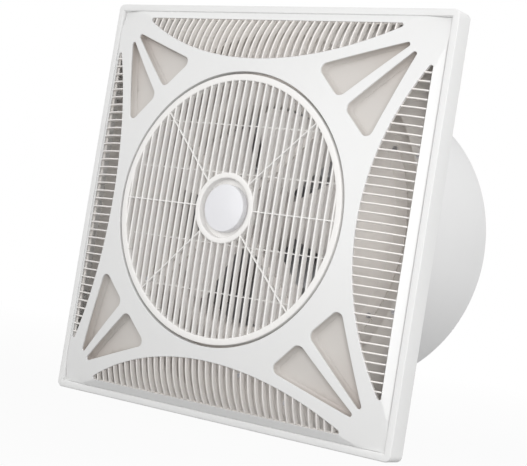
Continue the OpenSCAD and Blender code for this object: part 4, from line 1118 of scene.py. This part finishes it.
class FAN_OT_window_trays(FanPiece, bpy.types.Operator):
    """Closed pockets behind the eight corner windows"""

    bl_idname = "fan.window_trays"
    bl_label = "Corner pockets"

    FIT_GAP, WALL, FLOOR_STEP = 0.0002, 0.0015, 0.006
    LIP_OUT, NECK_OUT = 0.0030, 0.0006
    # The wall's distance outside the window, at each share of the pocket's depth
    BOWL = [(0.0004, 0.55), (0.0, 0.72), (-0.0012, 0.88), (-0.0030, 1.0)]

    def execute(self, context):
        f = Front(context.scene)
        d = f.p.window_depth
        lip = f.p.web_t + self.FIT_GAP
        rings = [(self.LIP_OUT, lip), (self.NECK_OUT, lip)]
        rings += [(out, d * share) for out, share in self.BOWL]
        parts = []
        for q in range(4):
            for swapped in (False, True):
                paths = [turned(f.window_outline(g, swapped), q) for g, _ in rings]
                wall = [[(x, y, f.dome(math.hypot(x, y)) - depth) for x, y in path]
                        for path, (_, depth) in zip(paths, rings)]
                verts, faces = joined_rings(wall, closed=False)
                flat, inner = fill_outline(paths[-1], [], self.FLOOR_STEP)
                base = len(verts)
                verts += [(v.x, v.y, f.dome(math.hypot(v.x, v.y)) - d) for v in flat]
                faces += [tuple(base + i for i in t) for t in inner]
                part = new_piece("pocket", verts, faces, finishes(context.scene)["tray"],
                                 smooth=30, fix=False)
                outwards(part)
                parts.append(part)
        piece = merged("window_pockets", parts)
        thick(piece, self.WALL)
        dress(piece, "housing", "tray_plastic", "window_trays")
        return {"FINISHED"}


class FAN_OT_side_grilles(FanPiece, bpy.types.Operator):
    """Slatted inserts of the four side inlets"""

    bl_idname = "fan.side_grilles"
    bl_label = "Side grilles"

    SAMPLES, ROUND_SHARE, MESH_STEP = 14, 0.46, 0.006
    GAP, UNDER_GAP, SLIMMER = 0.0003, 0.0006, 0.0003
    ROOT_ROUND, ROOT_SHORT = 0.0002, 0.001
    RIM_CLEAR, RIM_T = 0.0005, 0.0032

    def execute(self, context):
        f = Front(context.scene)
        s = f.s
        finish = finishes(context.scene)["grille"]
        shared = dict(count=s.count, pitch=s.pitch, arc_radius=f.arc_r, arc_centre=f.arc_x,
                      side=f.side, band_height=f.band(f.side), dome_centre=f.dome_c,
                      dome_radius=f.p.dome_r, bow_radius=s.bow_r, thickness=s.slat_t,
                      samples=self.SAMPLES)
        under = f.p.web_t + self.UNDER_GAP
        slim, root_reach = self.SLIMMER, s.rim_w - self.ROOT_SHORT
        tree = inlet_slats()
        for q, name in enumerate(("right", "top", "left", "bottom")):
            turn = q * math.pi / 2
            fronts = grown(f"slats_{name}", tree, finish, turn=turn, drop=0.0, depth=s.slat_d,
                           rounding=s.slat_t * self.ROUND_SHARE, inner_reach=-self.GAP,
                           outer_reach=-self.GAP, **shared)
            roots = grown(f"roots_{name}", tree, finish, turn=turn, drop=under,
                          depth=s.slat_d - under - slim, rounding=self.ROOT_ROUND,
                          inner_reach=root_reach, outer_reach=root_reach,
                          **{**shared, "thickness": s.slat_t - slim})
            rim = self.rim(f, q, under, finish)
            piece = merged(f"side_grille_{name}_slats", [fronts, roots, rim])
            dress(piece, "housing", "grille_plastic", f"side_grille_{name}")
        return {"FINISHED"}

    def rim(self, f, q, under, finish):
        """Rim that joins the slats behind the panel."""
        outer, inner = f.inlet_outline(f.s.rim_w), f.inlet_outline(self.RIM_CLEAR)
        flat, faces = fill_outline(outer, [inner], self.MESH_STEP)
        verts = [(v.x, v.y, f.height(v.x, v.y) - under) for v in flat]
        verts = turned(verts, q)
        part = new_piece("rim", verts, faces, finish, fix=False)
        outwards(part)
        thick(part, self.RIM_T)
        return settled(part)


class FAN_OT_louver(FanPiece, bpy.types.Operator):
    """Turning louver: ring, hub collar, slats, ribs and ties"""

    bl_idname = "fan.louver"
    bl_label = "Louver"

    WALL, BOSS_R, SHAFT_R = 0.003, 0.0075, 0.0036
    FOOT_R, LIP_R, BASE_R, BOSS_EDGE_R = 0.0005, 0.0014, 0.001, 0.0004
    COLLAR_EDGE_R = 0.0016
    SAMPLES, OVERLAP, SLAT_ROUND, RIB_ROUND = 18, 0.0012, 0.47, 0.45
    RIB_ANGLES, RIB_DROP = (90, 45, -45), 0.0005
    TIES_AT, TIE_DEPTH, TIE_ROUND = (0.050, 0.118), 0.0025, 0.0004

    def execute(self, context):
        f = Front(context.scene)
        s = context.scene.fan_louver
        finish = finishes(context.scene)["louver"]
        ring_r = reach_x("louver")
        ring_z = f.dome(f.p.hole_r)
        inner_r = ring_r - s.ring_w
        crown_r = (ring_r ** 2 + s.crown ** 2) / (2 * s.crown)
        crown_c = ring_z + s.crown - crown_r

        def crown(r):
            return crown_c + math.sqrt(crown_r ** 2 - r * r)

        foot = ring_z - s.ring_d
        ring = lathe(section(
            [(ring_r, foot, self.FOOT_R), (ring_r, crown(ring_r), self.LIP_R),
             (inner_r, crown(inner_r), self.LIP_R), (inner_r, foot, self.FOOT_R)],
            steps=5), LARGE_ROUND)
        piece = new_piece("louver_ring", *ring, finish)
        dress(piece, "louver", "louver_plastic", "louver")

        front = front_z("louver")
        floor = front - s.collar_recess
        base, edge = floor - self.WALL, self.COLLAR_EDGE_R
        boss_r, boss_z = self.BOSS_R, back_z("louver")
        collar = lathe(section(
            [(s.collar_r, base, self.BASE_R), (s.collar_r, front, edge),
             (s.collar_bore_r, front, edge), (s.collar_bore_r, floor, edge),
             (self.SHAFT_R, floor, 0), (self.SHAFT_R, boss_z, 0),
             (boss_r, boss_z, self.BOSS_EDGE_R), (boss_r, base, self.BASE_R)],
            steps=5), SMALL_ROUND)
        piece = new_piece("louver_collar", *collar, finish)
        dress(piece, "louver", "louver_plastic", "louver")

        tree = louver_bars()
        shared = dict(ring_radius=inner_r + self.OVERLAP, hub_radius=s.collar_r - self.OVERLAP,
                      crown_centre=crown_c, crown_radius=crown_r, samples=self.SAMPLES)
        n = s.side_slats
        slats = grown("louver_slats", tree, finish, count=2 * n + 1, first=-n * s.pitch,
                      pitch=s.pitch, turn=0.0, drop=0.0, thickness=s.slat_t, depth=s.slat_d,
                      rounding=s.slat_t * self.SLAT_ROUND, **shared)
        dress(slats, "louver", "louver_plastic", "louver")
        ribs = [grown(f"rib_{i}", tree, finish, count=1, first=0.0, pitch=0.0,
                      turn=math.radians(a), drop=self.RIB_DROP, thickness=s.rib_t,
                      depth=s.rib_d, rounding=s.rib_t * self.RIB_ROUND, **shared)
                for i, a in enumerate(self.RIB_ANGLES)]
        dress(merged("louver_ribs", ribs), "louver", "louver_plastic", "louver")
        ties = [grown(f"tie_{i}", tree, finish, count=2, first=-y, pitch=2 * y,
                      turn=math.pi / 2, drop=s.slat_d - self.TIE_DEPTH, thickness=s.rib_t,
                      depth=self.TIE_DEPTH, rounding=self.TIE_ROUND, **shared)
                for i, y in enumerate(self.TIES_AT)]
        dress(merged("louver_ties", ties), "louver", "louver_plastic", "louver")
        return {"FINISHED"}


class FAN_OT_hub_cap(FanPiece, bpy.types.Operator):
    """Round cap over the louver's screw"""

    bl_idname = "fan.hub_cap"
    bl_label = "Hub cap"

    WALL, FALL, POLE_R = 0.002, 0.0003, 0.00005
    FOOT_R, EDGE_R, NOOK_R = 0.0003, 0.0015, 0.0008

    def execute(self, context):
        r, top, foot = reach_x("hub_cap"), front_z("hub_cap"), back_z("hub_cap")
        wall, pole = self.WALL, self.POLE_R
        cap = lathe(section(
            [(r, foot, self.FOOT_R), (r, top - self.FALL, self.EDGE_R), (pole, top, 0),
             (pole, top - wall, 0), (r - wall, top - wall, self.NOOK_R),
             (r - wall, foot, self.FOOT_R)], steps=5), SMALL_ROUND)
        piece = new_piece("hub_cap_shell", *cap, finishes(context.scene)["cap"])
        dress(piece, "louver", "cap_plastic", "hub_cap")
        return {"FINISHED"}


class FAN_OT_drum(FanPiece, bpy.types.Operator):
    """Painted sheet steel: the drum and the pan that joins it to the square front"""

    bl_idname = "fan.drum"
    bl_label = "Drum and pan"

    ROLLED_R, FLANGE_W, FIT_GAP = 0.0006, 0.014, 0.0002
    EDGE_R, BEND_R, NOOK_R = 0.0004, 0.0022, 0.0008

    def execute(self, context):
        t = context.scene.fan_body.sheet_t
        paint = finishes(context.scene)["sheet"]
        r, front, back = reach_x("drum"), front_z("drum"), back_z("drum")
        shell = lathe(rounded_path([(r, back), (r, front), (r - t, front), (r - t, back)],
                                   self.ROLLED_R, steps=3), LARGE_ROUND)
        piece = new_piece("drum_shell", *shell, paint)
        dress(piece, "housing", "white_sheet", "drum")

        pan_r, pan_front = reach_x("pan"), front_z("pan")
        foot, plate = back_z("pan"), front + self.FIT_GAP
        hole_r, lip_r = r - self.FLANGE_W, pan_r - self.FLANGE_W
        collar_r = r - t - self.FIT_GAP
        edge, bend, nook = self.EDGE_R, self.BEND_R, self.NOOK_R
        pan = section(
            [(collar_r, foot, edge), (collar_r, plate, edge), (pan_r, plate, bend),
             (pan_r, pan_front, bend), (lip_r, pan_front, edge), (lip_r, pan_front - t, edge),
             (pan_r - t, pan_front - t, nook), (pan_r - t, plate + t, nook),
             (hole_r, plate + t, edge), (hole_r, plate, edge), (collar_r - t, plate, edge),
             (collar_r - t, foot, edge)], steps=4)
        # The pan takes the lining finish, whose lighter, warmer colour is painted bounce light
        piece = new_piece("pan_shell", *lathe(pan, LARGE_ROUND), finishes(context.scene)["lining"])
        dress(piece, "housing", "white_sheet", "pan")
        return {"FINISHED"}


class FAN_OT_inlet_ring(FanPiece, bpy.types.Operator):
    """Air inlet ring: throat, rounded lip, cone and flange"""

    bl_idname = "fan.inlet_ring"
    bl_label = "Inlet ring"

    FLANGE_W, SEAT = 0.018, 0.0019
    LIP_STEPS, ROUND_STEPS = 20, 192

    def execute(self, context):
        s = context.scene.fan_body
        t, lip = s.ring_t, s.lip_r
        top, low, reach = front_z("inlet_ring"), back_z("inlet_ring"), reach_x("inlet_ring")
        centre = (s.throat_r + lip, top - lip)
        base = (reach - self.FLANGE_W, front_z("drum") + self.SEAT)
        away = Vector((centre[0] - base[0], centre[1] - base[1]))
        lean = math.atan2(away.y, away.x) - math.asin(lip / away.length) - math.pi / 2
        outside = arc(centre, lip, math.pi, lean - math.pi, self.LIP_STEPS)
        inside = arc(centre, lip - t, lean, math.pi - lean, self.LIP_STEPS)
        profile = [(s.throat_r + t, low), (s.throat_r, low)] + outside
        profile += [(base[0], base[1] + t), (reach, base[1] + t), (reach, base[1]),
                    (base[0] - t / math.cos(lean), base[1])]
        profile += inside
        piece = new_piece("inlet_ring_bell", *lathe(profile, self.ROUND_STEPS),
                          finishes(context.scene)["inner"])
        dress(piece, "housing", "ring_paint", "inlet_ring")
        return {"FINISHED"}


class FAN_OT_impeller(FanPiece, bpy.types.Operator):
    """Axial impeller: hub with curved, tapering blades"""

    bl_idname = "fan.impeller"
    bl_label = "Impeller"

    HUB_LENGTH, HUB_WALL, BOSS_R, BOSS_LENGTH = 0.046, 0.0026, 0.012, 0.024
    BORE_GAP, NOSE, FACE_T, NOSE_INSIDE = 0.00005, 0.005, 0.0035, 0.0085
    FOOT_R, NOSE_R, BORE_R, NOOK_R, INSIDE_R = 0.0006, 0.003, 0.0004, 0.001, 0.002
    TIP_R, BLADES_BACK, ROOT_DEPTH = 0.156, 0.025, 0.0013
    ROWS, COLS = 26, 22
    # Over this last stretch of a blade its leading edge is cut back by this share
    TIP_STRETCH, TIP_SWEEP = 0.022, 0.22
    # A blade's thickness at its side edges and along its tip, as shares of the full one
    EDGE_SHARE, EDGE_GROWTH, TIP_SHARE = 0.25, 6, 0.35

    def execute(self, context):
        s = context.scene.fan_body
        finish = finishes(context.scene)["blade"]
        front = front_z("hub_bush")
        hub_r, inside_r, boss_r = s.hub_r, s.hub_r - self.HUB_WALL, self.BOSS_R
        hub_back, boss_back = front - self.HUB_LENGTH, front - self.BOSS_LENGTH
        bore = reach_x("hub_bush") + self.BORE_GAP
        hub = lathe(section(
            [(hub_r, hub_back, self.FOOT_R), (hub_r, front - self.NOSE, self.NOSE_R),
             (hub_r - self.NOSE, front, self.NOSE_R), (bore, front, self.BORE_R),
             (bore, boss_back, 0), (boss_r, boss_back, self.FOOT_R),
             (boss_r, front - self.FACE_T, self.NOOK_R),
             (inside_r, front - self.NOSE_INSIDE, self.INSIDE_R),
             (inside_r, hub_back, self.FOOT_R)], steps=5), SMALL_ROUND)
        parts = [new_piece("hub", *hub, finish)]
        for k in range(s.blade_count):
            turn = 2 * math.pi / s.blade_count * k
            parts.append(self.blade(s, front - self.BLADES_BACK, turn, finish))
        piece = merged("impeller_rotor", parts)
        dress(piece, "impeller", "blade_plastic", "impeller")
        return {"FINISHED"}

    def blade(self, s, blade_z, turn, finish):
        """One blade: a curved plate tilted about its own radius, thinner at its edges."""
        rows, cols, tip_r = self.ROWS, self.COLS, self.TIP_R
        half = s.blade_span / 2
        root = s.hub_r - self.ROOT_DEPTH
        tilt = Matrix.Rotation(s.blade_pitch, 4, "X")
        top, low = [], []
        for i in range(rows + 1):
            r = root + (tip_r - root) * i / rows
            cut = max(0.0, (r - (tip_r - self.TIP_STRETCH)) / self.TIP_STRETCH)
            lead = half - self.TIP_SWEEP * half * cut ** 2
            for j in range(cols + 1):
                a = -half + (lead + half) * j / cols
                x, y = r * math.cos(a), r * math.sin(a)
                wide = min(1.0, self.EDGE_GROWTH * min(j, cols - j) / cols + self.EDGE_SHARE)
                t = s.blade_t / 2 * (wide if i < rows else self.TIP_SHARE)
                run = y / math.cos(s.blade_pitch)
                bow = math.sqrt(s.blade_curve_r ** 2 - run * run) - s.blade_curve_r
                for side, points in ((1, top), (-1, low)):
                    p = tilt @ Vector((x, run, bow + side * t))
                    points.append(p + Vector((0, 0, blade_z)))
        verts = top + low
        count = len(top)
        faces = []
        for i in range(rows):
            for j in range(cols):
                a, b = i * (cols + 1) + j, (i + 1) * (cols + 1) + j
                faces.append((a, a + 1, b + 1, b))
                faces.append((count + a, count + b, count + b + 1, count + a + 1))
        edge = (list(range(cols + 1)) + [i * (cols + 1) + cols for i in range(1, rows + 1)]
                + [rows * (cols + 1) + j for j in range(cols - 1, -1, -1)]
                + [i * (cols + 1) for i in range(rows - 1, 0, -1)])
        for k, a in enumerate(edge):
            b = edge[(k + 1) % len(edge)]
            faces.append((a, b, count + b, count + a))
        rotor = Matrix.Rotation(turn, 4, "Z")
        return new_piece("blade", [rotor @ v for v in verts], faces, finish, smooth=50)


class FAN_OT_rear_guard(FanPiece, bpy.types.Operator):
    """Outlet guard in the drum's open end: a ring with sloping slats"""

    bl_idname = "fan.rear_guard"
    bl_label = "Rear guard"

    ROLLED_R, LEAST_GAP, OVERLAP = 0.0006, 0.003, 0.001

    def execute(self, context):
        s = context.scene.fan_body
        paint = finishes(context.scene)["sheet"]
        out_r, front, back = reach_x("rear_guard"), front_z("rear_guard"), back_z("rear_guard")
        in_r = out_r - s.guard_ring_t
        rim = rounded_path([(out_r, back), (out_r, front), (in_r, front), (in_r, back)],
                           self.ROLLED_R, steps=3)
        ring = new_piece("guard_ring", *lathe(rim, LARGE_ROUND), paint)
        rise = s.guard_slat_w * math.cos(s.guard_tilt) / 2
        each_side = int((in_r - rise - self.LEAST_GAP) / s.guard_pitch)
        slats = grown("guard_slats", outlet_slats(), paint, count=2 * each_side + 1,
                      pitch=s.guard_pitch, width=s.guard_slat_w, thickness=s.guard_slat_t,
                      tilt=s.guard_tilt, reach=in_r + self.OVERLAP, height=(front + back) / 2)
        guard = merged("outlet_guard", [ring, slats])
        dress(guard, "housing", "white_sheet", "rear_guard")
        return {"FINISHED"}


# Node, its body, slot, finish and the width of its rounded edges
MACHINED = [
    ("louver_carrier", "housing", "carrier_plastic", "inner", 0.0006),
    ("gear_motor", "housing", "gear_can", "steel", 0.0005),
    ("gear_motor_screws", "housing", "screw_steel", "screw", 0.0003),
    ("carrier_screws", "housing", "screw_steel", "screw", 0.0003),
    ("louver_shaft", "louver", "shaft_steel", "steel", 0.0002),
    ("louver_screw", "louver", "screw_steel", "screw", 0.0002),
    ("back_plate", "housing", "white_sheet", "lining", 0.0002),
    ("back_plate_screws", "housing", "screw_steel", "screw", 0.0003),
    ("pan_screws", "housing", "screw_steel", "screw", 0.0003),
    ("inlet_ring_screws", "housing", "screw_steel", "screw", 0.0003),
    ("drum_screws", "housing", "screw_steel", "screw", 0.0003),
    ("motor_bracket", "housing", "zinc_sheet", "zinc", 0.0004),
    ("rubber_mounts", "housing", "mount_rubber", "rubber", 0.0004),
    ("motor_screws", "housing", "screw_steel", "screw", 0.0003),
    ("motor_front_shell", "housing", "motor_alloy", "alloy", 0.0008),
    ("motor_rear_shell", "housing", "motor_alloy", "alloy", 0.0008),
    ("shell_screws", "housing", "screw_steel", "screw", 0.0003),
    ("stator", "housing", "lamination", "core", 0.0002),
    ("windings", "housing", "copper_wire", "copper", 0.002),
    ("bearings", "housing", "shaft_steel", "steel", 0.0002),
    ("motor_shaft", "impeller", "shaft_steel", "steel", 0.0003),
    ("rotor", "impeller", "lamination", "core", 0.0002),
    ("hub_bush", "impeller", "bush_brass", "brass", 0.0002),
    ("impeller_nut", "impeller", "screw_steel", "screw", 0.0003),
    ("guard_clips", "housing", "zinc_sheet", "zinc", 0.0004),
    ("terminal_box", "housing", "box_plastic", "box", 0.0008),
    ("box_screws", "housing", "screw_steel", "screw", 0.0003),
    ("terminal_lid", "housing", "box_plastic", "box", 0.0008),
    ("lid_screws", "housing", "screw_steel", "screw", 0.0003),
    ("terminal_block", "housing", "block_plastic", "box", 0.0004),
    ("capacitor", "housing", "capacitor_can", "can", 0.0008),
    ("capacitor_clip", "housing", "zinc_sheet", "zinc", 0.0002),
    ("cable_gland", "housing", "black_plastic", "black", 0.0005),
    ("gland_nut", "housing", "black_plastic", "black", 0.0004),
]


class FAN_OT_machined_parts(FanPiece, bpy.types.Operator):
    """Working parts behind the front: merged copies of the CAD parts with rounded edges"""

    bl_idname = "fan.machined_parts"
    bl_label = "Working parts"

    SAME_PLACE, FLAT_ANGLE, SHARP_ANGLE = 2e-6, math.radians(0.3), math.radians(28)

    def execute(self, context):
        kinds = finishes(context.scene)
        for node, body, slot, finish, width in MACHINED:
            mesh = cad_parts[node].data.copy()
            mesh.name = node + "_finished"
            bm = bmesh.new()
            bm.from_mesh(mesh)
            bmesh.ops.remove_doubles(bm, verts=bm.verts, dist=self.SAME_PLACE)
            bmesh.ops.dissolve_limit(bm, angle_limit=self.FLAT_ANGLE, verts=bm.verts,
                                     edges=bm.edges)
            bm.to_mesh(mesh)
            bm.free()
            mesh.materials.clear()
            mesh.materials.append(kinds[finish])
            mesh.shade_smooth()
            mesh.set_sharp_from_angle(angle=self.SHARP_ANGLE)
            piece = bpy.data.objects.new(node + "_finished", mesh)
            context.scene.collection.objects.link(piece)
            round_edges(piece, width)
            dress(piece, body, slot, node)
        return {"FINISHED"}


class FAN_OT_stage(FanPiece, bpy.types.Operator):
    """Pale floor, soft studio light and the camera at the photograph's angle"""

    bl_idname = "fan.stage"
    bl_label = "Stage"

    AZIMUTH = math.radians(36.05)
    ELEVATION = math.radians(-2.32)
    ROLL = math.radians(9.17)
    DISTANCE = 1.9589
    TARGET = Vector((0.0425, -0.031, -0.0252))
    LENS, SENSOR, NEAREST, FURTHEST = 95.92, 36.0, 0.05, 50.0
    FLOOR_HALF, FLOOR_COLOUR, SKY = 9.0, (0.28, 0.28, 0.28, 1), 0.81
    # The floor's glow for the camera: its strength near the fan and far off
    GLOW_FROM, GLOW_TO, GLOW_NEAR, GLOW_FAR = 0.5, 3.0, 0.95, 1.0
    # Name, place, target, size in metres and power in watts
    LAMPS = [("key", (1.8, -1.95, 0.15), (0, 0, 0), 1.2, 24),
             ("fill", (-0.8, -2.6, 0.5), (0, 0, 0), 1.6, 13),
             ("side", (3.0, 0.4, 1.3), (0.1, 0.1, 0), 1.4, 16)]

    def execute(self, context):
        self.camera(context)
        self.floor(context)
        self.lamps(context)
        context.scene.view_settings.view_transform = "Standard"
        return {"FINISHED"}

    def camera(self, context):
        a, e, roll = self.AZIMUTH, self.ELEVATION, self.ROLL
        back = Vector((math.sin(a) * math.cos(e), -math.cos(a) * math.cos(e), math.sin(e)))
        right = (-back).cross(Vector((0, 0, 1))).normalized()
        up = right.cross(-back)
        across = right * math.cos(roll) + up * math.sin(roll)
        upward = up * math.cos(roll) - right * math.sin(roll)
        data = bpy.data.cameras.new("view")
        data.lens = self.LENS
        data.sensor_width = self.SENSOR
        data.clip_start, data.clip_end = self.NEAREST, self.FURTHEST
        cam = bpy.data.objects.new("view", data)
        pose = Matrix((across, upward, back)).transposed().to_4x4()
        pose.translation = self.TARGET + back * self.DISTANCE
        cam.matrix_world = pose
        context.scene.collection.objects.link(cam)
        context.scene.camera = cam

    def floor(self, context):
        size, low = self.FLOOR_HALF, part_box("outer_frame")[0].z
        mesh = bpy.data.meshes.new("floor")
        mesh.from_pydata([(-size, -size, low), (size, -size, low), (size, size, low),
                          (-size, size, low)], [], [(0, 1, 2, 3)])
        floor = bpy.data.objects.new("floor", mesh)
        context.scene.collection.objects.link(floor)
        made = bpy.data.materials.new("pale_floor")
        made.use_nodes = True
        n = Nodes(made.node_tree)
        shader = made.node_tree.nodes["Principled BSDF"]
        shader.inputs["Base Color"].default_value = self.FLOOR_COLOUR
        shader.inputs["Roughness"].default_value = 0.9
        place = n.add("ShaderNodeTexCoord").outputs["Object"]
        away = n.add("ShaderNodeVectorMath", {0: place}, operation="LENGTH").outputs["Value"]
        glowing = n.add("ShaderNodeMapRange",
                        {"Value": away, "From Min": self.GLOW_FROM, "From Max": self.GLOW_TO,
                         "To Min": self.GLOW_NEAR, "To Max": self.GLOW_FAR}).outputs[0]
        glow = n.add("ShaderNodeEmission", {"Color": (1, 1, 1, 1), "Strength": 1.0})
        path = n.add("ShaderNodeLightPath").outputs
        seen = n.math("MAXIMUM", path["Is Camera Ray"], path["Is Glossy Ray"])
        mix = n.add("ShaderNodeMixShader", {0: n.math("MULTIPLY", seen, glowing),
                                            1: shader.outputs[0], 2: glow.outputs[0]})
        n.feed(made.node_tree.nodes["Material Output"].inputs["Surface"], mix.outputs[0])
        mesh.materials.append(made)

    def lamps(self, context):
        world = bpy.data.worlds.new("studio")
        world.use_nodes = True
        context.scene.world = world
        n = Nodes(world.node_tree)
        sky = world.node_tree.nodes["Background"]
        sky.inputs["Color"].default_value = (1, 1, 1, 1)
        sky.inputs["Strength"].default_value = self.SKY
        plain = n.add("ShaderNodeBackground", {"Color": (1, 1, 1, 1), "Strength": 1.0})
        path = n.add("ShaderNodeLightPath").outputs
        seen = n.math("MAXIMUM", path["Is Camera Ray"], path["Is Transmission Ray"])
        mix = n.add("ShaderNodeMixShader", {0: seen, 1: sky.outputs[0], 2: plain.outputs[0]})
        n.feed(world.node_tree.nodes["World Output"].inputs["Surface"], mix.outputs[0])
        for lamp in self.LAMPS:
            self.lamp(context, *lamp)

    def lamp(self, context, name, place, target, size, power):
        data = bpy.data.lights.new(name, "AREA")
        data.shape = "DISK"
        data.size = size
        data.energy = power
        lamp = bpy.data.objects.new(name, data)
        lamp.location = place
        aim = Vector(target) - Vector(place)
        lamp.rotation_euler = aim.to_track_quat("-Z", "Y").to_euler()
        context.scene.collection.objects.link(lamp)


OPERATORS = (FAN_OT_outer_frame, FAN_OT_face_panel, FAN_OT_window_trays, FAN_OT_side_grilles,
             FAN_OT_louver, FAN_OT_hub_cap, FAN_OT_drum, FAN_OT_inlet_ring, FAN_OT_impeller,
             FAN_OT_rear_guard, FAN_OT_machined_parts, FAN_OT_stage)


class FAN_PT_sidebar(bpy.types.Panel):
    """Lists the fan's operators and sizes"""

    bl_label = "Ceiling exhaust fan"
    bl_idname = "FAN_PT_sidebar"
    bl_space_type = "VIEW_3D"
    bl_region_type = "UI"
    bl_category = "Fan"

    def draw(self, context):
        for operator in OPERATORS:
            self.layout.operator(operator.bl_idname)
        for name, group in GROUPS.items():
            box = self.layout.box()
            box.label(text=group.__doc__)
            for key in group.__annotations__:
                box.prop(getattr(context.scene, name), key)


def register():
    for cls in (*GROUPS.values(), *OPERATORS, FAN_PT_sidebar):
        bpy.utils.register_class(cls)
    for name, group in GROUPS.items():
        setattr(bpy.types.Scene, name, PointerProperty(type=group))


def unregister():
    for name in GROUPS:
        delattr(bpy.types.Scene, name)
    for cls in reversed((*GROUPS.values(), *OPERATORS, FAN_PT_sidebar)):
        bpy.utils.unregister_class(cls)


def main():
    register()
    for operator in OPERATORS:
        family, name = operator.bl_idname.split(".")
        getattr(getattr(bpy.ops, family), name)()


if __name__ == "__main__":
    main()
